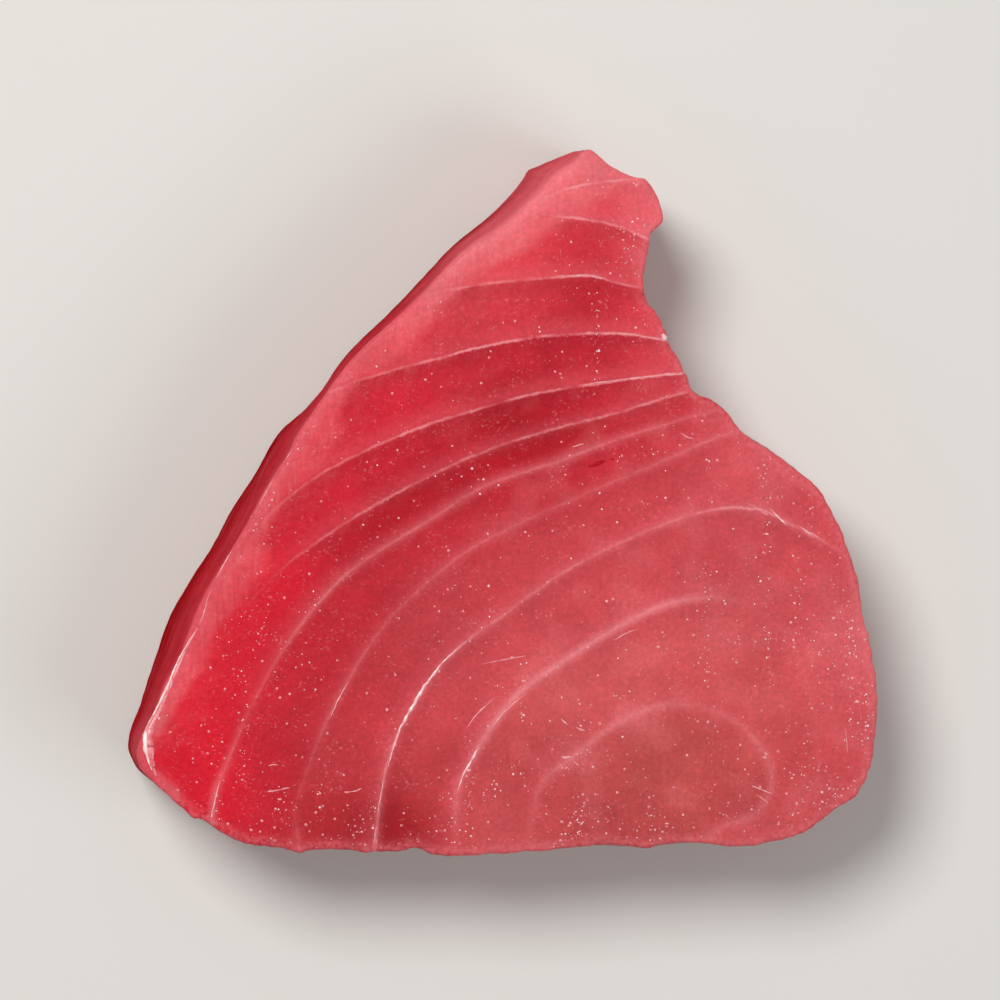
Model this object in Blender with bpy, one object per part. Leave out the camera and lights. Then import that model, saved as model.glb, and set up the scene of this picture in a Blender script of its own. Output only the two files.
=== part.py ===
"""Raw tuna steak: one thick slice cut across a skinned loin, lying on its flat cut face.

The slice is drawn as one closed outline at its foot. Its wall climbs from a small rounded foot edge to
a rounded top edge, and leans in over the stretch where the skin was trimmed away. The upper cut face is
crowned a little, sags towards its edge and has the shallow swells of soft flesh.

Lengths are in millimetres up to the mesh, which is in metres. +Z is up, and the origin is at the middle of
the bounding box's floor.
"""

import math

import bmesh
import bpy
from mathutils import Vector, noise
from mathutils.geometry import delaunay_2d_cdt

MM = 0.001

# Driving dimensions, in millimetres.
LENGTH = 108.6  # along X, from the blunt left end to the right flank
DEPTH = 102.2  # along Y, from the lower edge to the top of the tail
THICKNESS = 24.0  # the cut's thickness at its middle, before the swells
FOOT_RADIUS = 1.6  # rounding where the wall meets the surface that it lies on
TOP_RADIUS = 1.9  # rounding where the wall meets the upper cut face
EDGE_SAG = 0.9  # how far the upper face drops by the time it reaches its edge
EDGE_SAG_WIDTH = 9.0  # the width of the band in which it drops
SWELL_HEIGHT = 0.7  # shallow hills and hollows of the upper face
SWELL_SIZE = 26.0
WALL_BELLY = 0.4  # how far the wall bulges at half height
WALL_WAVE = 0.4  # unevenness that the knife and the soft flesh leave in the wall
WALL_WAVE_SIZE = 13.0

# The foot's outline, counterclockwise, as x, y and the lean: how far the top edge stands inside the foot.
LOWER_EDGE = (
    (-53.6, -34.0, 1.8),
    (-51.3, -39.6, 0.7),
    (-45.4, -45.4, 0.2),
    (-37.1, -49.4, 0.0),
    (-26.1, -50.2, 0.0),
    (-13.4, -50.1, 0.0),
    (-6.0, -51.2, 0.0),
    (7.5, -50.4, 0.0),
    (20.9, -50.1, 0.0),
    (33.5, -50.3, 0.0),
)
RIGHT_FLANK = (
    (41.6, -49.6, 0.0),
    (48.4, -46.1, 0.0),
    (52.9, -42.4, 0.0),
    (54.8, -35.0, 0.0),
    (54.7, -26.0, 0.0),
    (53.0, -17.5, 0.0),
    (51.0, -8.0, 0.0),
    (46.8, 1.2, 0.0),
)
NECK = (
    (40.0, 6.4, 0.0),
    (33.9, 12.2, 0.0),
    (28.2, 16.2, 0.0),
    (25.7, 21.2, 0.0),
    (22.3, 27.8, 0.0),
    (20.5, 33.4, 0.0),
    (21.4, 38.0, 0.0),
)
TAIL = (
    (23.3, 40.8, 0.0),
    (22.4, 44.4, 0.0),
    (20.1, 47.0, 0.0),
    (12.6, 50.9, 0.6),
    (6.6, 49.4, 2.4),
)
SKIN_SIDE = (
    (-3.8, 39.7, 3.4),
    (-13.4, 30.5, 2.6),
    (-23.9, 18.5, 1.4),
    (-32.3, 9.6, 1.2),
    (-38.9, -1.2, 2.1),
    (-45.6, -12.8, 2.9),
    (-50.0, -22.4, 3.0),
    (-52.8, -29.0, 2.6),
)
OUTLINE = LOWER_EDGE + RIGHT_FLANK + NECK + TAIL + SKIN_SIDE

# How finely the shape is cut into facets.
STEPS_PER_SPAN = 4  # points between one outline point and the next
ROUNDING_STEPS = 3  # rings over each rounded edge
WALL_RINGS = 5  # rings on the plain part of the wall
FACE_SPACING = 3.2  # between the points of the upper face

FLESH_COLOUR = (0.53, 0.06, 0.07, 1.0)
FLESH_ROUGHNESS = 0.35


def clear_scene():
    for old in list(bpy.data.objects):
        bpy.data.objects.remove(old, do_unlink=True)


def spline_point(before, start, end, after, share):
    """The point at `share` of the way from start to end, on a centripetal curve through the outline."""
    points = (before, start, end, after)
    knots = [0.0]
    for first, second in zip(points, points[1:]):
        knots.append(knots[-1] + math.sqrt((second - first).length))
    at = knots[1] + share * (knots[2] - knots[1])

    def blend(first, second, low, high):
        return first * ((high - at) / (high - low)) + second * ((at - low) / (high - low))

    outer = [blend(points[i], points[i + 1], knots[i], knots[i + 1]) for i in range(3)]
    inner = [blend(outer[i], outer[i + 1], knots[i], knots[i + 2]) for i in range(2)]
    return blend(inner[0], inner[1], knots[1], knots[2])


def foot_outline():
    """The smooth foot outline as (point, lean) pairs, stretched to the driving length and depth."""
    marks = [Vector(mark) for mark in OUTLINE]
    count = len(marks)
    curve = []
    for i in range(count):
        four = [marks[(i + step) % count] for step in (-1, 0, 1, 2)]
        curve += [spline_point(*four, share / STEPS_PER_SPAN) for share in range(STEPS_PER_SPAN)]
    low = [min(point[axis] for point in curve) for axis in (0, 1)]
    high = [max(point[axis] for point in curve) for axis in (0, 1)]
    stretch = [size / (b - a) for size, a, b in zip((LENGTH, DEPTH), low, high)]
    outline = []
    for point in curve:
        x, y = [(point[axis] - (low[axis] + high[axis]) / 2) * stretch[axis] for axis in (0, 1)]
        outline.append((Vector((x, y)), max(point.z, 0.0)))
    return outline


def outward_normals(points):
    """The outline's outward normal at each point, for a counterclockwise outline."""
    normals = []
    for i, point in enumerate(points):
        along = points[(i + 1) % len(points)] - points[i - 1]
        normals.append(Vector((along.y, -along.x)).normalized())
    return normals


def swell(x, y):
    return SWELL_HEIGHT * noise.noise(Vector((x / SWELL_SIZE, y / SWELL_SIZE, 2.7)))


def face_height(x, y, edge_distance):
    """Height of the upper face, which sags in the band along its edge."""
    closeness = max(0.0, 1.0 - edge_distance / EDGE_SAG_WIDTH)
    return THICKNESS + swell(x, y) - EDGE_SAG * closeness * closeness


def wall_profile():
    """(height share, inset in mm, drop in mm) of each ring, from the flat foot to the upper face."""
    rings = []
    for step in range(ROUNDING_STEPS):
        angle = math.pi / 2 * step / ROUNDING_STEPS
        inset = FOOT_RADIUS * (1 - math.sin(angle))
        rings.append((0.0, inset, -FOOT_RADIUS * (1 - math.cos(angle))))
    for ring in range(WALL_RINGS):
        share = ring / (WALL_RINGS - 1)
        low, high = FOOT_RADIUS / THICKNESS, 1 - TOP_RADIUS / THICKNESS
        rings.append((low + share * (high - low), 0.0, 0.0))
    for step in range(1, ROUNDING_STEPS + 1):
        angle = math.pi / 2 * step / ROUNDING_STEPS
        inset = TOP_RADIUS * (1 - math.cos(angle))
        rings.append((1.0, inset, TOP_RADIUS * (1 - math.sin(angle))))
    return rings


def ring_points(outline, normals, share, inset, drop):
    """One ring of the wall, in mm. Only the flat foot itself, at height 0, is perfectly even."""
    ring = []
    for (point, lean), normal in zip(outline, normals):
        top = face_height(point.x, point.y, 0.0)
        z = share * top - drop
        height = z / top
        belly = WALL_BELLY * math.sin(math.pi * height)
        place = Vector((point.x, point.y, z)) / WALL_WAVE_SIZE
        wave = WALL_WAVE * noise.noise(place) * math.sin(math.pi * height)
        x, y = point - normal * (inset + lean * height - belly - wave)
        ring.append(Vector((x, y, z)))
    return ring


def distance_to_ring(point, ring):
    """The shortest distance in plan from a point to a closed ring."""
    best = math.inf
    for first, second in zip(ring, ring[1:] + ring[:1]):
        run = second.xy - first.xy
        share = max(0.0, min(1.0, (point - first.xy).dot(run) / run.length_squared))
        best = min(best, (first.xy + run * share - point).length)
    return best


def face_grid(ring):
    """Staggered points over the box of a ring, in rows, for the inside of the upper face."""
    row_spacing = FACE_SPACING * math.sqrt(3) / 2
    x_low, x_high = min(p.x for p in ring), max(p.x for p in ring)
    y_low, y_high = min(p.y for p in ring), max(p.y for p in ring)
    points = []
    for row in range(1, int((y_high - y_low) / row_spacing) + 1):
        shift = FACE_SPACING / 2 * (row % 2)
        for column in range(int((x_high - x_low) / FACE_SPACING) + 1):
            points.append(Vector((x_low + shift + column * FACE_SPACING, y_low + row * row_spacing)))
    return points


def inside(point, ring):
    """Whether a point lies inside a closed ring, by counting the edges to its right."""
    crossings = 0
    for first, second in zip(ring, ring[1:] + ring[:1]):
        if (first.y > point.y) == (second.y > point.y):
            continue
        share = (point.y - first.y) / (second.y - first.y)
        crossings += first.x + share * (second.x - first.x) > point.x
    return crossings % 2 == 1


def fill_ring(bm, ring, ring_verts, extra, height_at, upwards):
    """Closes a ring with triangles, through extra points inside it at height_at(point)."""
    flat = [point.xy for point in ring] + extra
    count = len(ring)
    edges = [(i, (i + 1) % count) for i in range(count)]
    _, _, faces, sources, _, _ = delaunay_2d_cdt(flat, edges, [], 1, 1e-6)
    verts = list(ring_verts)
    verts += [bm.verts.new((*point, height_at(point))) for point in extra]
    for face in faces:
        corners = [verts[sources[corner][0]] for corner in face]
        bm.faces.new(corners if upwards else corners[::-1])


def make_steak():
    outline = foot_outline()
    normals = outward_normals([point for point, _ in outline])
    rings = [ring_points(outline, normals, *level) for level in wall_profile()]
    bm = bmesh.new()
    loops = [[bm.verts.new(point) for point in ring] for ring in rings]
    count = len(outline)
    for lower, upper in zip(loops, loops[1:]):
        for i in range(count):
            after = (i + 1) % count
            bm.faces.new((lower[i], lower[after], upper[after], upper[i]))

    fill_ring(bm, rings[0], loops[0], [], None, upwards=False)

    brim = rings[-1]
    extra = []
    distances = {}
    for point in face_grid(brim):
        distance = distance_to_ring(point, brim)
        if distance > FACE_SPACING / 2 and inside(point, brim):
            extra.append(point)
            distances[tuple(point)] = distance
    fill_ring(
        bm, brim, loops[-1], extra, lambda p: face_height(p.x, p.y, distances[tuple(p)]), upwards=True
    )

    bmesh.ops.recalc_face_normals(bm, faces=bm.faces)
    x_middle = (min(v.co.x for v in bm.verts) + max(v.co.x for v in bm.verts)) / 2
    y_middle = (min(v.co.y for v in bm.verts) + max(v.co.y for v in bm.verts)) / 2
    bmesh.ops.translate(bm, verts=bm.verts, vec=(-x_middle, -y_middle, 0.0))
    bmesh.ops.scale(bm, verts=bm.verts, vec=(MM, MM, MM))
    mesh = bpy.data.meshes.new("tuna_steak")
    bm.to_mesh(mesh)
    bm.free()
    mesh.shade_smooth()
    mesh.materials.append(flesh_material())
    steak = bpy.data.objects.new("tuna_steak", mesh)
    bpy.context.scene.collection.objects.link(steak)


def flesh_material():
    """Moist raw red flesh: deep red, fairly glossy."""
    material = bpy.data.materials.new("raw_tuna_flesh")
    material.use_nodes = True
    shader = material.node_tree.nodes["Principled BSDF"]
    shader.inputs["Base Color"].default_value = FLESH_COLOUR
    shader.inputs["Roughness"].default_value = FLESH_ROUGHNESS
    shader.inputs["Metallic"].default_value = 0.0
    return material


clear_scene()
make_steak()
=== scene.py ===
"""Raw tuna steak, laid out as a Blender add-on and run as a script.

A thick slice of raw loin lies on its cut face. Its muscle is stacked in nested flakes, and each flake is
parted from the next by a septum, a thin pale sheet of connective tissue. The pieces are the flesh itself,
the bright and the faint threads that stand out along the septa, the rib of fascia along the trimmed side
with the softer tissue at its root, whose white and pink also paint the highlight along that ridge, a fleck
of fat, two streaks of blood, the beads of moisture, whose pale colour is a painted glint, and the crumbs
that the saw left. The flesh's colour holds painted shade and light beside the septa and painted shade down
its walls.

Lengths are in millimetres while a shape is worked out, and in metres once it is in a mesh.
"""

import math
from functools import partial

import bpy
import numpy as np
from bpy.props import FloatProperty, FloatVectorProperty, IntProperty, PointerProperty
from mathutils import Matrix, Vector, noise
from mathutils.geometry import delaunay_2d_cdt
from mathutils.kdtree import KDTree


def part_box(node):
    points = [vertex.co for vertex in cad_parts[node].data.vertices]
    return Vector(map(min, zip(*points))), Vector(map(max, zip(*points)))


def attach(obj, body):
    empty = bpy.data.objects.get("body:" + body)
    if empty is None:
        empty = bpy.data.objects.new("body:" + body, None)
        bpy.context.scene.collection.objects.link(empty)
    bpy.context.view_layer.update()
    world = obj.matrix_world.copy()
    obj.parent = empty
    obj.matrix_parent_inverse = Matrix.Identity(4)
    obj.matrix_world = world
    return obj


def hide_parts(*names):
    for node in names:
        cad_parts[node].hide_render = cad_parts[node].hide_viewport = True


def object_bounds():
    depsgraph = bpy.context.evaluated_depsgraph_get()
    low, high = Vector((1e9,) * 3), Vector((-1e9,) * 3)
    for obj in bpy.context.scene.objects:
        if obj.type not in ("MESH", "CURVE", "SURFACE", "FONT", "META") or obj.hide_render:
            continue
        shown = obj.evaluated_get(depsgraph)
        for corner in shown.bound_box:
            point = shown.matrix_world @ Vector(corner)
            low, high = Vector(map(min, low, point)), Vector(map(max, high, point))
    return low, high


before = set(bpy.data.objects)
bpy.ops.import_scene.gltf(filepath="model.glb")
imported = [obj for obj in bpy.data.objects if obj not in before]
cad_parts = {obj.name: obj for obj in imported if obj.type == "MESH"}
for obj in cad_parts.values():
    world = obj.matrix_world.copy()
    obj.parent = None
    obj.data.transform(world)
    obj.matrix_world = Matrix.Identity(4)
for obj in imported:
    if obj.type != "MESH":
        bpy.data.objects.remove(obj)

bl_info = {
    "name": "Raw Tuna Steak",
    "version": (1, 0, 0),
    "blender": (4, 5, 0),
    "location": "3D View > Sidebar > Tuna",
    "description": "Builds a raw tuna steak with flaky flesh, pale septa, moisture and ragged edges",
    "category": "Object",
}

MM = 0.001
NODE = "tuna_steak"
BODY = "root"
CAD_LOW, CAD_HIGH = [np.array(corner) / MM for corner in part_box(NODE)]
CAD_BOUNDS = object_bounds()
THICKNESS = float(CAD_HIGH[2] - CAD_LOW[2])

# ---------------------------------------------------------------------------------------------------------
# The steak's plan

# The foot's outline, counterclockwise, as x, y and the lean: how far the top edge stands inside the foot.
# Where the lean is left out, the wall is upright.
LOWER_EDGE = (
    (-54.8, -36.6, 1.8), (-53.5, -39, 1.3), (-51.4, -40.4, 0.7), (-48, -42.8, 0.2), (-46.2, -44.2),
    (-45.1, -45.2), (-43.8, -45.6), (-41, -47.4), (-37.8, -48.9), (-34, -49.5), (-31.4, -49.9),
    (-29.9, -50.5), (-28.2, -50.1), (-25, -49.9), (-19.3, -50.5), (-15, -50.2), (-13, -49.8),
    (-10.8, -50.6), (-8.4, -51), (1.4, -50.6), (7.3, -50.2), (13.8, -49.6), (20.7, -50), (24.5, -49.5),
    (29.6, -49.6), (33, -50.1), (36.7, -49.8),
)
RIGHT_FLANK = (
    (41.4, -48.8), (44.6, -47.5), (48.3, -44.7), (50.6, -43.3), (51.7, -42), (53.2, -38.7), (54, -34),
    (54.2, -29), (53.7, -24.3), (52.9, -19.8), (51.9, -15.4), (51.2, -11), (49, -4.8), (46.1, 0.8),
    (43.7, 3.3),
)
NECK = (
    (39, 6.9), (34.4, 10.1), (33.1, 11.6), (30.8, 14.2), (28, 15.5), (26.9, 16.6), (26.4, 18),
    (25.5, 19.9), (23.6, 23.4), (22.4, 26.4), (20.6, 29), (20.1, 31.6), (20.2, 34.2), (20.9, 37.2),
    (21.1, 38.7), (21.8, 39.6),
)
TAIL = (
    (22.75, 40.55), (22.8, 41), (22.4, 42.9), (21.7, 44.6), (20.9, 45.7), (20.1, 46.6), (18.9, 46.9),
    (16.4, 47.9), (14.6, 49), (12.8, 50.5, 0.05), (12.3, 51, 0.2), (11.8, 51.4, 0.8), (10.3, 51.4, 1.9),
    (8.4, 50.7, 2.4), (6.2, 49.8, 3), (4.8, 49.2, 3.4), (4.3, 48.2, 3.1), (3, 46.4, 2.7), (0.7, 44, 2.5),
)
SKIN_SIDE = (
    (-1.8, 41.7, 2.5), (-6.2, 38, 1.8), (-10.8, 33.2, 1.5), (-15.9, 27.8, 1.2), (-21.3, 22.5, 0.9),
    (-23.6, 19.6, 0.6), (-26.2, 15.9, 0.5), (-28.6, 13.3, 1), (-31.7, 10.7, 2.2), (-33.3, 8.7, 2.8),
    (-36, 3.8, 2.4), (-39.5, -1.6, 2.9), (-42.6, -7.2, 2.6), (-45.8, -12.1, 2.9), (-48.8, -17.4, 3.7),
    (-50.6, -22.6, 3.3), (-51.6, -25.8, 2.6), (-53.1, -30.6, 2.3), (-54.5, -34.2, 1.9),
)
OUTLINE = [(*mark, 0)[:3] for mark in LOWER_EDGE + RIGHT_FLANK + NECK + TAIL + SKIN_SIDE]

# The septa on the upper face, from the tail's tip to the loin's heart, as x, y and how pale each is there.
# Each runs from the skin side or the lower edge over to the right, and starts and ends outside the steak.
SEPTA = (
    ((-4, 41.8, 0), (3.5, 43, 0.3), (7.9, 44.8, 1.1), (11, 45.6, 1.2), (14.5, 46.25, 1.1),
     (19.7, 46.6, 0.9), (28, 47, 0)),
    ((-9, 38.5, 0), (-1.5, 40.9, 0.1), (3.4, 41.9, 0.3), (7.5, 41.2, 0.7), (11.6, 40.75, 0.9),
     (16.6, 39.7, 0.9), (20.4, 38, 0.9), (28, 33, 0)),
    ((-17, 28.3, 0), (-10, 30.2, 0.2), (-3.3, 31.4, 0.5), (6.3, 32.3, 0.7), (12.7, 32.6, 0.9),
     (15.5, 31.8, 0.7), (19.5, 31, 0.7), (28, 30, 0)),
    ((-32, 13, 0), (-21.2, 17.5, 0.4), (-10.1, 20.6, 0.8), (-4, 22.2, 0.8), (3.3, 23.6, 0.8),
     (12.5, 24.3, 0.9), (17.9, 24.2, 1), (23.3, 23.3, 1), (31, 21, 0)),
    ((-45, -14, 0), (-37.7, -6.7, 0.1), (-34.1, -1.8, 0.2), (-27.7, 3.4, 0.35), (-22.1, 6.5, 0.5),
     (-12.5, 10.7, 0.7), (-2.8, 13.7, 0.8), (3.3, 15.4, 0.9), (10.6, 16.7, 1), (15.5, 17.4, 1.2),
     (25.9, 18.6, 1.2), (35, 19.4, 0)),
    ((-50, -29, 0), (-39.8, -17.5, 0.05), (-32, -9.3, 0.2), (-26.6, -5.3, 0.4), (-21.2, -1.8, 0.5),
     (-11.8, 3.4, 0.6), (-2.8, 7.4, 0.6), (6.8, 10.5, 0.65), (15.5, 12.7, 0.8), (26.3, 15.9, 0.8),
     (37, 18, 0)),
    ((-43, -57, 0), (-42.3, -45.2, 0.5), (-41.8, -41.5, 0.5), (-40.4, -38, 0.35), (-36.9, -29.7, 0.2),
     (-32, -21, 0.3), (-25.4, -12.6, 0.45), (-20.7, -8.6, 0.4), (-10.1, -2, 0.4), (-3.3, 2.2, 0.4),
     (6.8, 5.6, 0.4), (15.5, 8.8, 0.36), (23.3, 11.2, 0.3), (38, 15.5, 0)),
    ((-30, -58, 0), (-29.9, -49.2, 0.3), (-30.4, -44.3, 0.15), (-28, -36.5, 0.2), (-24.3, -28.3, 0.4),
     (-17.4, -17.5, 0.25), (-10.6, -10.9, 0.3), (-5.2, -6.8, 0.35), (0.2, -3.9, 0.3), (15.5, 2.9, 0.3),
     (23.5, 6.2, 0.4), (30.6, 9.3, 0.4), (44, 13, 0)),
    ((-19.3, -59, 0), (-18.6, -46.8, 0.6), (-17.6, -39.5, 0.8), (-16.2, -34.7, 1.4), (-13.2, -29, 1.5),
     (-9.2, -23.3, 1.3), (-5.9, -20.2, 0.8), (0.2, -15.9, 0.5), (8.2, -10.2, 0.5), (15.5, -6.4, 0.5),
     (24.4, -2.7, 0.6), (31, -1, 0.8), (37.1, -1.2, 1), (40.7, -2.9, 1), (44.2, -4.7, 0.9),
     (46, -5.7, 0.35), (48.5, -7.1, 0.2), (60, -14, 0)),
    ((-7.6, -59, 0), (-7.3, -48.1, 0.15), (-6.8, -41, 0.3), (-4.5, -36.5, 0.4), (-1.9, -32.1, 0.6),
     (2.1, -27.4, 0.8), (8, -23.2, 0.9), (15.7, -18.4, 0.8), (23.5, -14.8, 0.6), (31.5, -14, 0.2),
     (39, -17.5, 0.1), (43.5, -25, 0.1), (45.5, -36, 0.1), (45, -58, 0)),
    ((3, -60, 0), (4.9, -41.2, 0.3), (10.3, -36.3, 0.6), (16.9, -31.6, 0.55), (23.5, -29.3, 0.35),
     (30, -30.2, 0.25), (35.7, -33.9, 0.3), (38.4, -38.3, 0.4), (38.4, -42, 0.4), (36.3, -45.2, 0.35),
     (30.5, -47.8, 0.3), (24, -58, 0)),
)
# How broad and faint each septum is, from 0, a crisp line, to 1, a soft band.
SEPTUM_SOFTNESS = (0.1, 0.1, 0.05, 0.0, 0.0, 0.15, 0.6, 0.75, 0.4, 0.85, 1.0)
# How strongly the flesh pales beside each septum: painted light before its step, and paler tissue along a
# soft one.
SEPTUM_GLOW = (1.0, 1.0, 1.0, 0.9, 0.9, 0.7, 0.8, 0.5, 0.8, 1.1, 0.6)
HEART = (24.0, -44.0)  # the middle of the innermost ring, which every flake is coned about
OUTER_GAP = 8.0  # stands for the width of the flake outside the first septum, and inside the last

# The red of each flake, from the tail's tip to the heart of the loin: the further in, the paler and browner.
FLAKE_REDS = (
    "#ea747a", "#e5616b", "#d63f49", "#cb3642", "#bd2534", "#b31c2d",
    "#b01b29", "#bd2b38", "#c34048", "#c84950", "#cc5357", "#bb4749",
)
# Places that differ from their flake, each laid over the ones before it: x, y, reach, colour and strength.
PATCHES = (
    (-44, -35, 7.5, "#d0021a", 0.95),  # blood in the low corner by the skin
    (-16, -46.5, 8, "#991219", 0.85),  # a bruise at the lower edge
    (-27, -46, 6, "#a82027", 0.7),  # darker flesh beside it
    (0, 12.5, 7.5, "#a81921", 0.6),  # the darkest middle flake
    (24, -39, 8, "#bf5250", 0.7),  # the heart, browner
    (41, -38, 7, "#c24448", 0.7),  # right of the heart
    (10, 36.5, 4.5, "#c92f3d", 0.85),  # a red flake at the tail
    (12, 30, 5.5, "#b5202f", 0.8),  # the neck's dark middle
    (25, 22, 7, "#d84c57", 0.8),  # the neck's paler right side
    (36, 5, 11, "#d2545c", 0.8),  # the shoulder
    (53, -20, 9, "#db656b", 0.8),  # the pale right flank
    (7, -27, 5.5, "#d0595b", 0.7),  # left of the heart's ring
    (3, -38, 6, "#bb4447", 0.8),  # low in the middle
    (-39, -22, 9, "#d2162a", 0.6),  # the freshest red on the left
    (-9, -38, 6, "#b23a3f", 0.8),  # a darker flake, low down
    (20, 14, 7, "#cc3b45", 0.7),  # under the neck
    (19.5, 35.5, 2.5, "#db626c", 0.65),  # the neck's pale rim
    (14.3, 42.6, 3, "#d63e4a", 0.8),  # the tail's red spot
    (19, -31, 3.5, "#d66b6e", 0.5),  # a cloud above the heart
    (32, -20, 3.5, "#dc6c71", 0.35),  # a cloud on the flank
    (36, -36, 3, "#d46160", 0.5),  # a cloud in the heart's ring
    (10, -37, 3, "#d5696b", 0.5),  # a cloud, low down
    (-26, -27, 11, "#b42530", 0.55),  # darker red, left of the middle
    (-36, -42, 5, "#b9222f", 0.8),  # darker red, low on the left
    (35, -27, 5, "#c2484c", 0.6),  # above and right of the heart
    (12.5, 47.6, 2.8, "#f09094", 0.8),  # the tail's pale tip
    (-8, -13, 6, "#b73a42", 0.6),  # a redder middle
    (-11, 15, 6, "#bc2c37", 0.6),  # redder, upper left
    (12, 21, 5, "#b32331", 0.6),  # redder, under the neck
)
# How wide the pale band inside the trimmed skin is, as y and the width there.
PALE_BAND = (
    (-36, 1.6), (-29, 2.6), (-24, 3.8), (-19, 3.4), (-14.5, 5), (-9.5, 5.6), (-5, 3.2), (0, 2.4), (5, 4.4),
    (9, 5.2), (13.5, 2.8), (18, 2.6), (21.5, 4.2), (26, 4), (29.5, 3.2), (33, 3.6), (37, 5), (41, 5.4),
    (44, 6.2), (48, 8.5),
)
# Where moisture gathers on the upper face: x, y, reach and how much.
WET_SPOTS = (
    (17.5, 38, 2.4, 1), (18.5, 34, 2.2, 1.2), (19.5, 40, 2, 0.6), (20, 27, 2, 0.6), (7, 24.5, 3, 0.15),
    (10, 28, 3, 0.12), (-36, -17, 2.4, 0.7), (-27.5, -14.5, 1.2, 0.9), (-29, -24, 2.5, 0.4),
    (-35, -4, 2.5, 0.3), (11, -46.5, 3, 1), (21, -46.5, 2.6, 1), (10, -36.5, 3, 0.4), (45, -22, 3, 0.6),
    (41, -20, 2, 0.4), (50, -17, 2, 0.5), (43, -36, 3, 0.3), (45, -44, 3.5, 0.4), (52.5, -31, 2.6, 1.1),
    (51, -21, 2.4, 1), (48.5, -43.5, 2.6, 1), (37, -12, 3, 0.2), (30, -10, 3, 0.25), (-33, -43, 4, 0.25),
    (-22, -47, 4, 0.3), (-9, -45, 3, 0.3), (-1, -40, 3, 0.25), (12, 1, 4, 0.12), (20, 4, 4, 0.12),
    (-3, 3, 4, 0.15), (-13, 6, 4, 0.12), (-16, -2, 3, 0.15),
)
# Short upright rows of beads, where the saw's teeth left scores: x, lowest y and highest y.
SAW_ROWS = (
    (-41.8, -46, -36), (-38, -40, -24), (-26.8, -48, -38), (-18.7, -50, -42), (-7.6, -49, -44),
    (-5.4, -49, -35), (2.3, -33, -22), (13.2, 15, 29), (29.3, 3, 11), (29.3, -28, -12), (38, -28, 6),
    (42.5, -20, -8), (50.4, -34, -16), (53, -34, -26),
)
# Where the saw dropped most crumbs: x, y, reach and how much.
CRUMB_SPOTS = (
    (9, -36.5, 3, 1), (17, -31, 2.5, 0.8), (10, -46, 4, 0.8), (36, -42.5, 2, 0.8), (46, -43, 4, 0.6),
    (32, -20, 3, 0.6), (40, -22, 2.5, 0.6), (18, 36, 2.5, 0.8), (51, -25, 6, 0.5), (46, -12, 5, 0.4),
)


def linear(hex_colour):
    """An sRGB hex colour as linear red, green, blue and alpha."""
    channels = [int(hex_colour[i : i + 2], 16) / 255 for i in (1, 3, 5)]
    return (*[c / 12.92 if c <= 0.04045 else ((c + 0.055) / 1.055) ** 2.4 for c in channels], 1.0)


# ---------------------------------------------------------------------------------------------------------
# What a user would change


def length_setting(name, millimetres, description):
    """A length in the panel, with its default given in millimetres."""
    return FloatProperty(name=name, description=description, default=millimetres * MM, unit="LENGTH")


def colour_setting(name, hex_colour, description):
    """A colour in the panel, with its default given in hex."""
    colour = linear(hex_colour)
    return FloatVectorProperty(
        name=name, description=description, default=colour, size=4, subtype="COLOR", min=0.0, max=1.0
    )


class TunaFleshSettings(bpy.types.PropertyGroup):
    face_spacing: length_setting("Face spacing", 0.42, "Distance between the points of the upper cut face")
    wall_spacing: length_setting("Wall spacing", 0.52, "Distance between the points of the wall")
    under_spacing: length_setting(
        "Underside spacing", 1.5, "Distance between the points of the face that the steak lies on"
    )
    foot_radius: length_setting(
        "Foot radius", 1.6, "Rounding where the wall meets the surface that the steak lies on"
    )
    rim_radius: length_setting(
        "Rim radius", 0.55, "Rounding of the upper rim where it was cut across the grain"
    )
    skin_rim_radius: length_setting(
        "Skin side rim radius", 0.45, "Rounding of the crisper upper rim where the skin was trimmed away"
    )
    flake_swell: length_setting("Flake swell", 0.10, "How far the middle of a flake stands above its septa")
    flake_step: length_setting(
        "Flake step", 0.05, "How far one flake's edge stands above the next across a septum"
    )
    septum_groove: length_setting("Septum groove", 0.06, "Depth of the groove along a septum")
    rim_ragged: length_setting("Rim raggedness", 0.20, "How far the upper rim is torn in and out")
    septum_colour: colour_setting("Septum colour", "#ee989e", "Pale connective tissue between the flakes")
    skin_band_colour: colour_setting(
        "Skin side band", "#d74651", "Paler flesh in the band just inside the trimmed skin"
    )
    fresh_colour: colour_setting(
        "Fresh red", "#cc2436", "Brighter, bloodier flesh in the stretch inside the skin side band"
    )
    bloody_colour: colour_setting(
        "Bloody red", "#d41e30", "Brightest red, low in the stretch inside the skin side band"
    )
    tail_band_colour: colour_setting(
        "Tail band", "#dd5f67", "Palest flesh, in the skin side band near the tail"
    )
    # The trimmed side's colours are painted shade: darker than the face, darkest at the foot, and lighter and
    # rosier at the tail.
    trimmed_shade_colour: colour_setting(
        "Trimmed side", "#a91c27", "Upper part of the wall where the skin was trimmed away"
    )
    trimmed_tail_shade_colour: colour_setting(
        "Trimmed side at the tail", "#cb4f59", "Upper part of the trimmed wall near the tail's tip"
    )
    trimmed_foot_shadow_colour: colour_setting(
        "Trimmed side foot", "#8e080c", "Lowest part of the wall where the skin was trimmed away"
    )
    # Painted shade: below the rim the side walls are mixed towards this darker red.
    wall_shade_colour: colour_setting("Wall colour", "#9a121d", "Darker, wetter flesh of the side walls")


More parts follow.
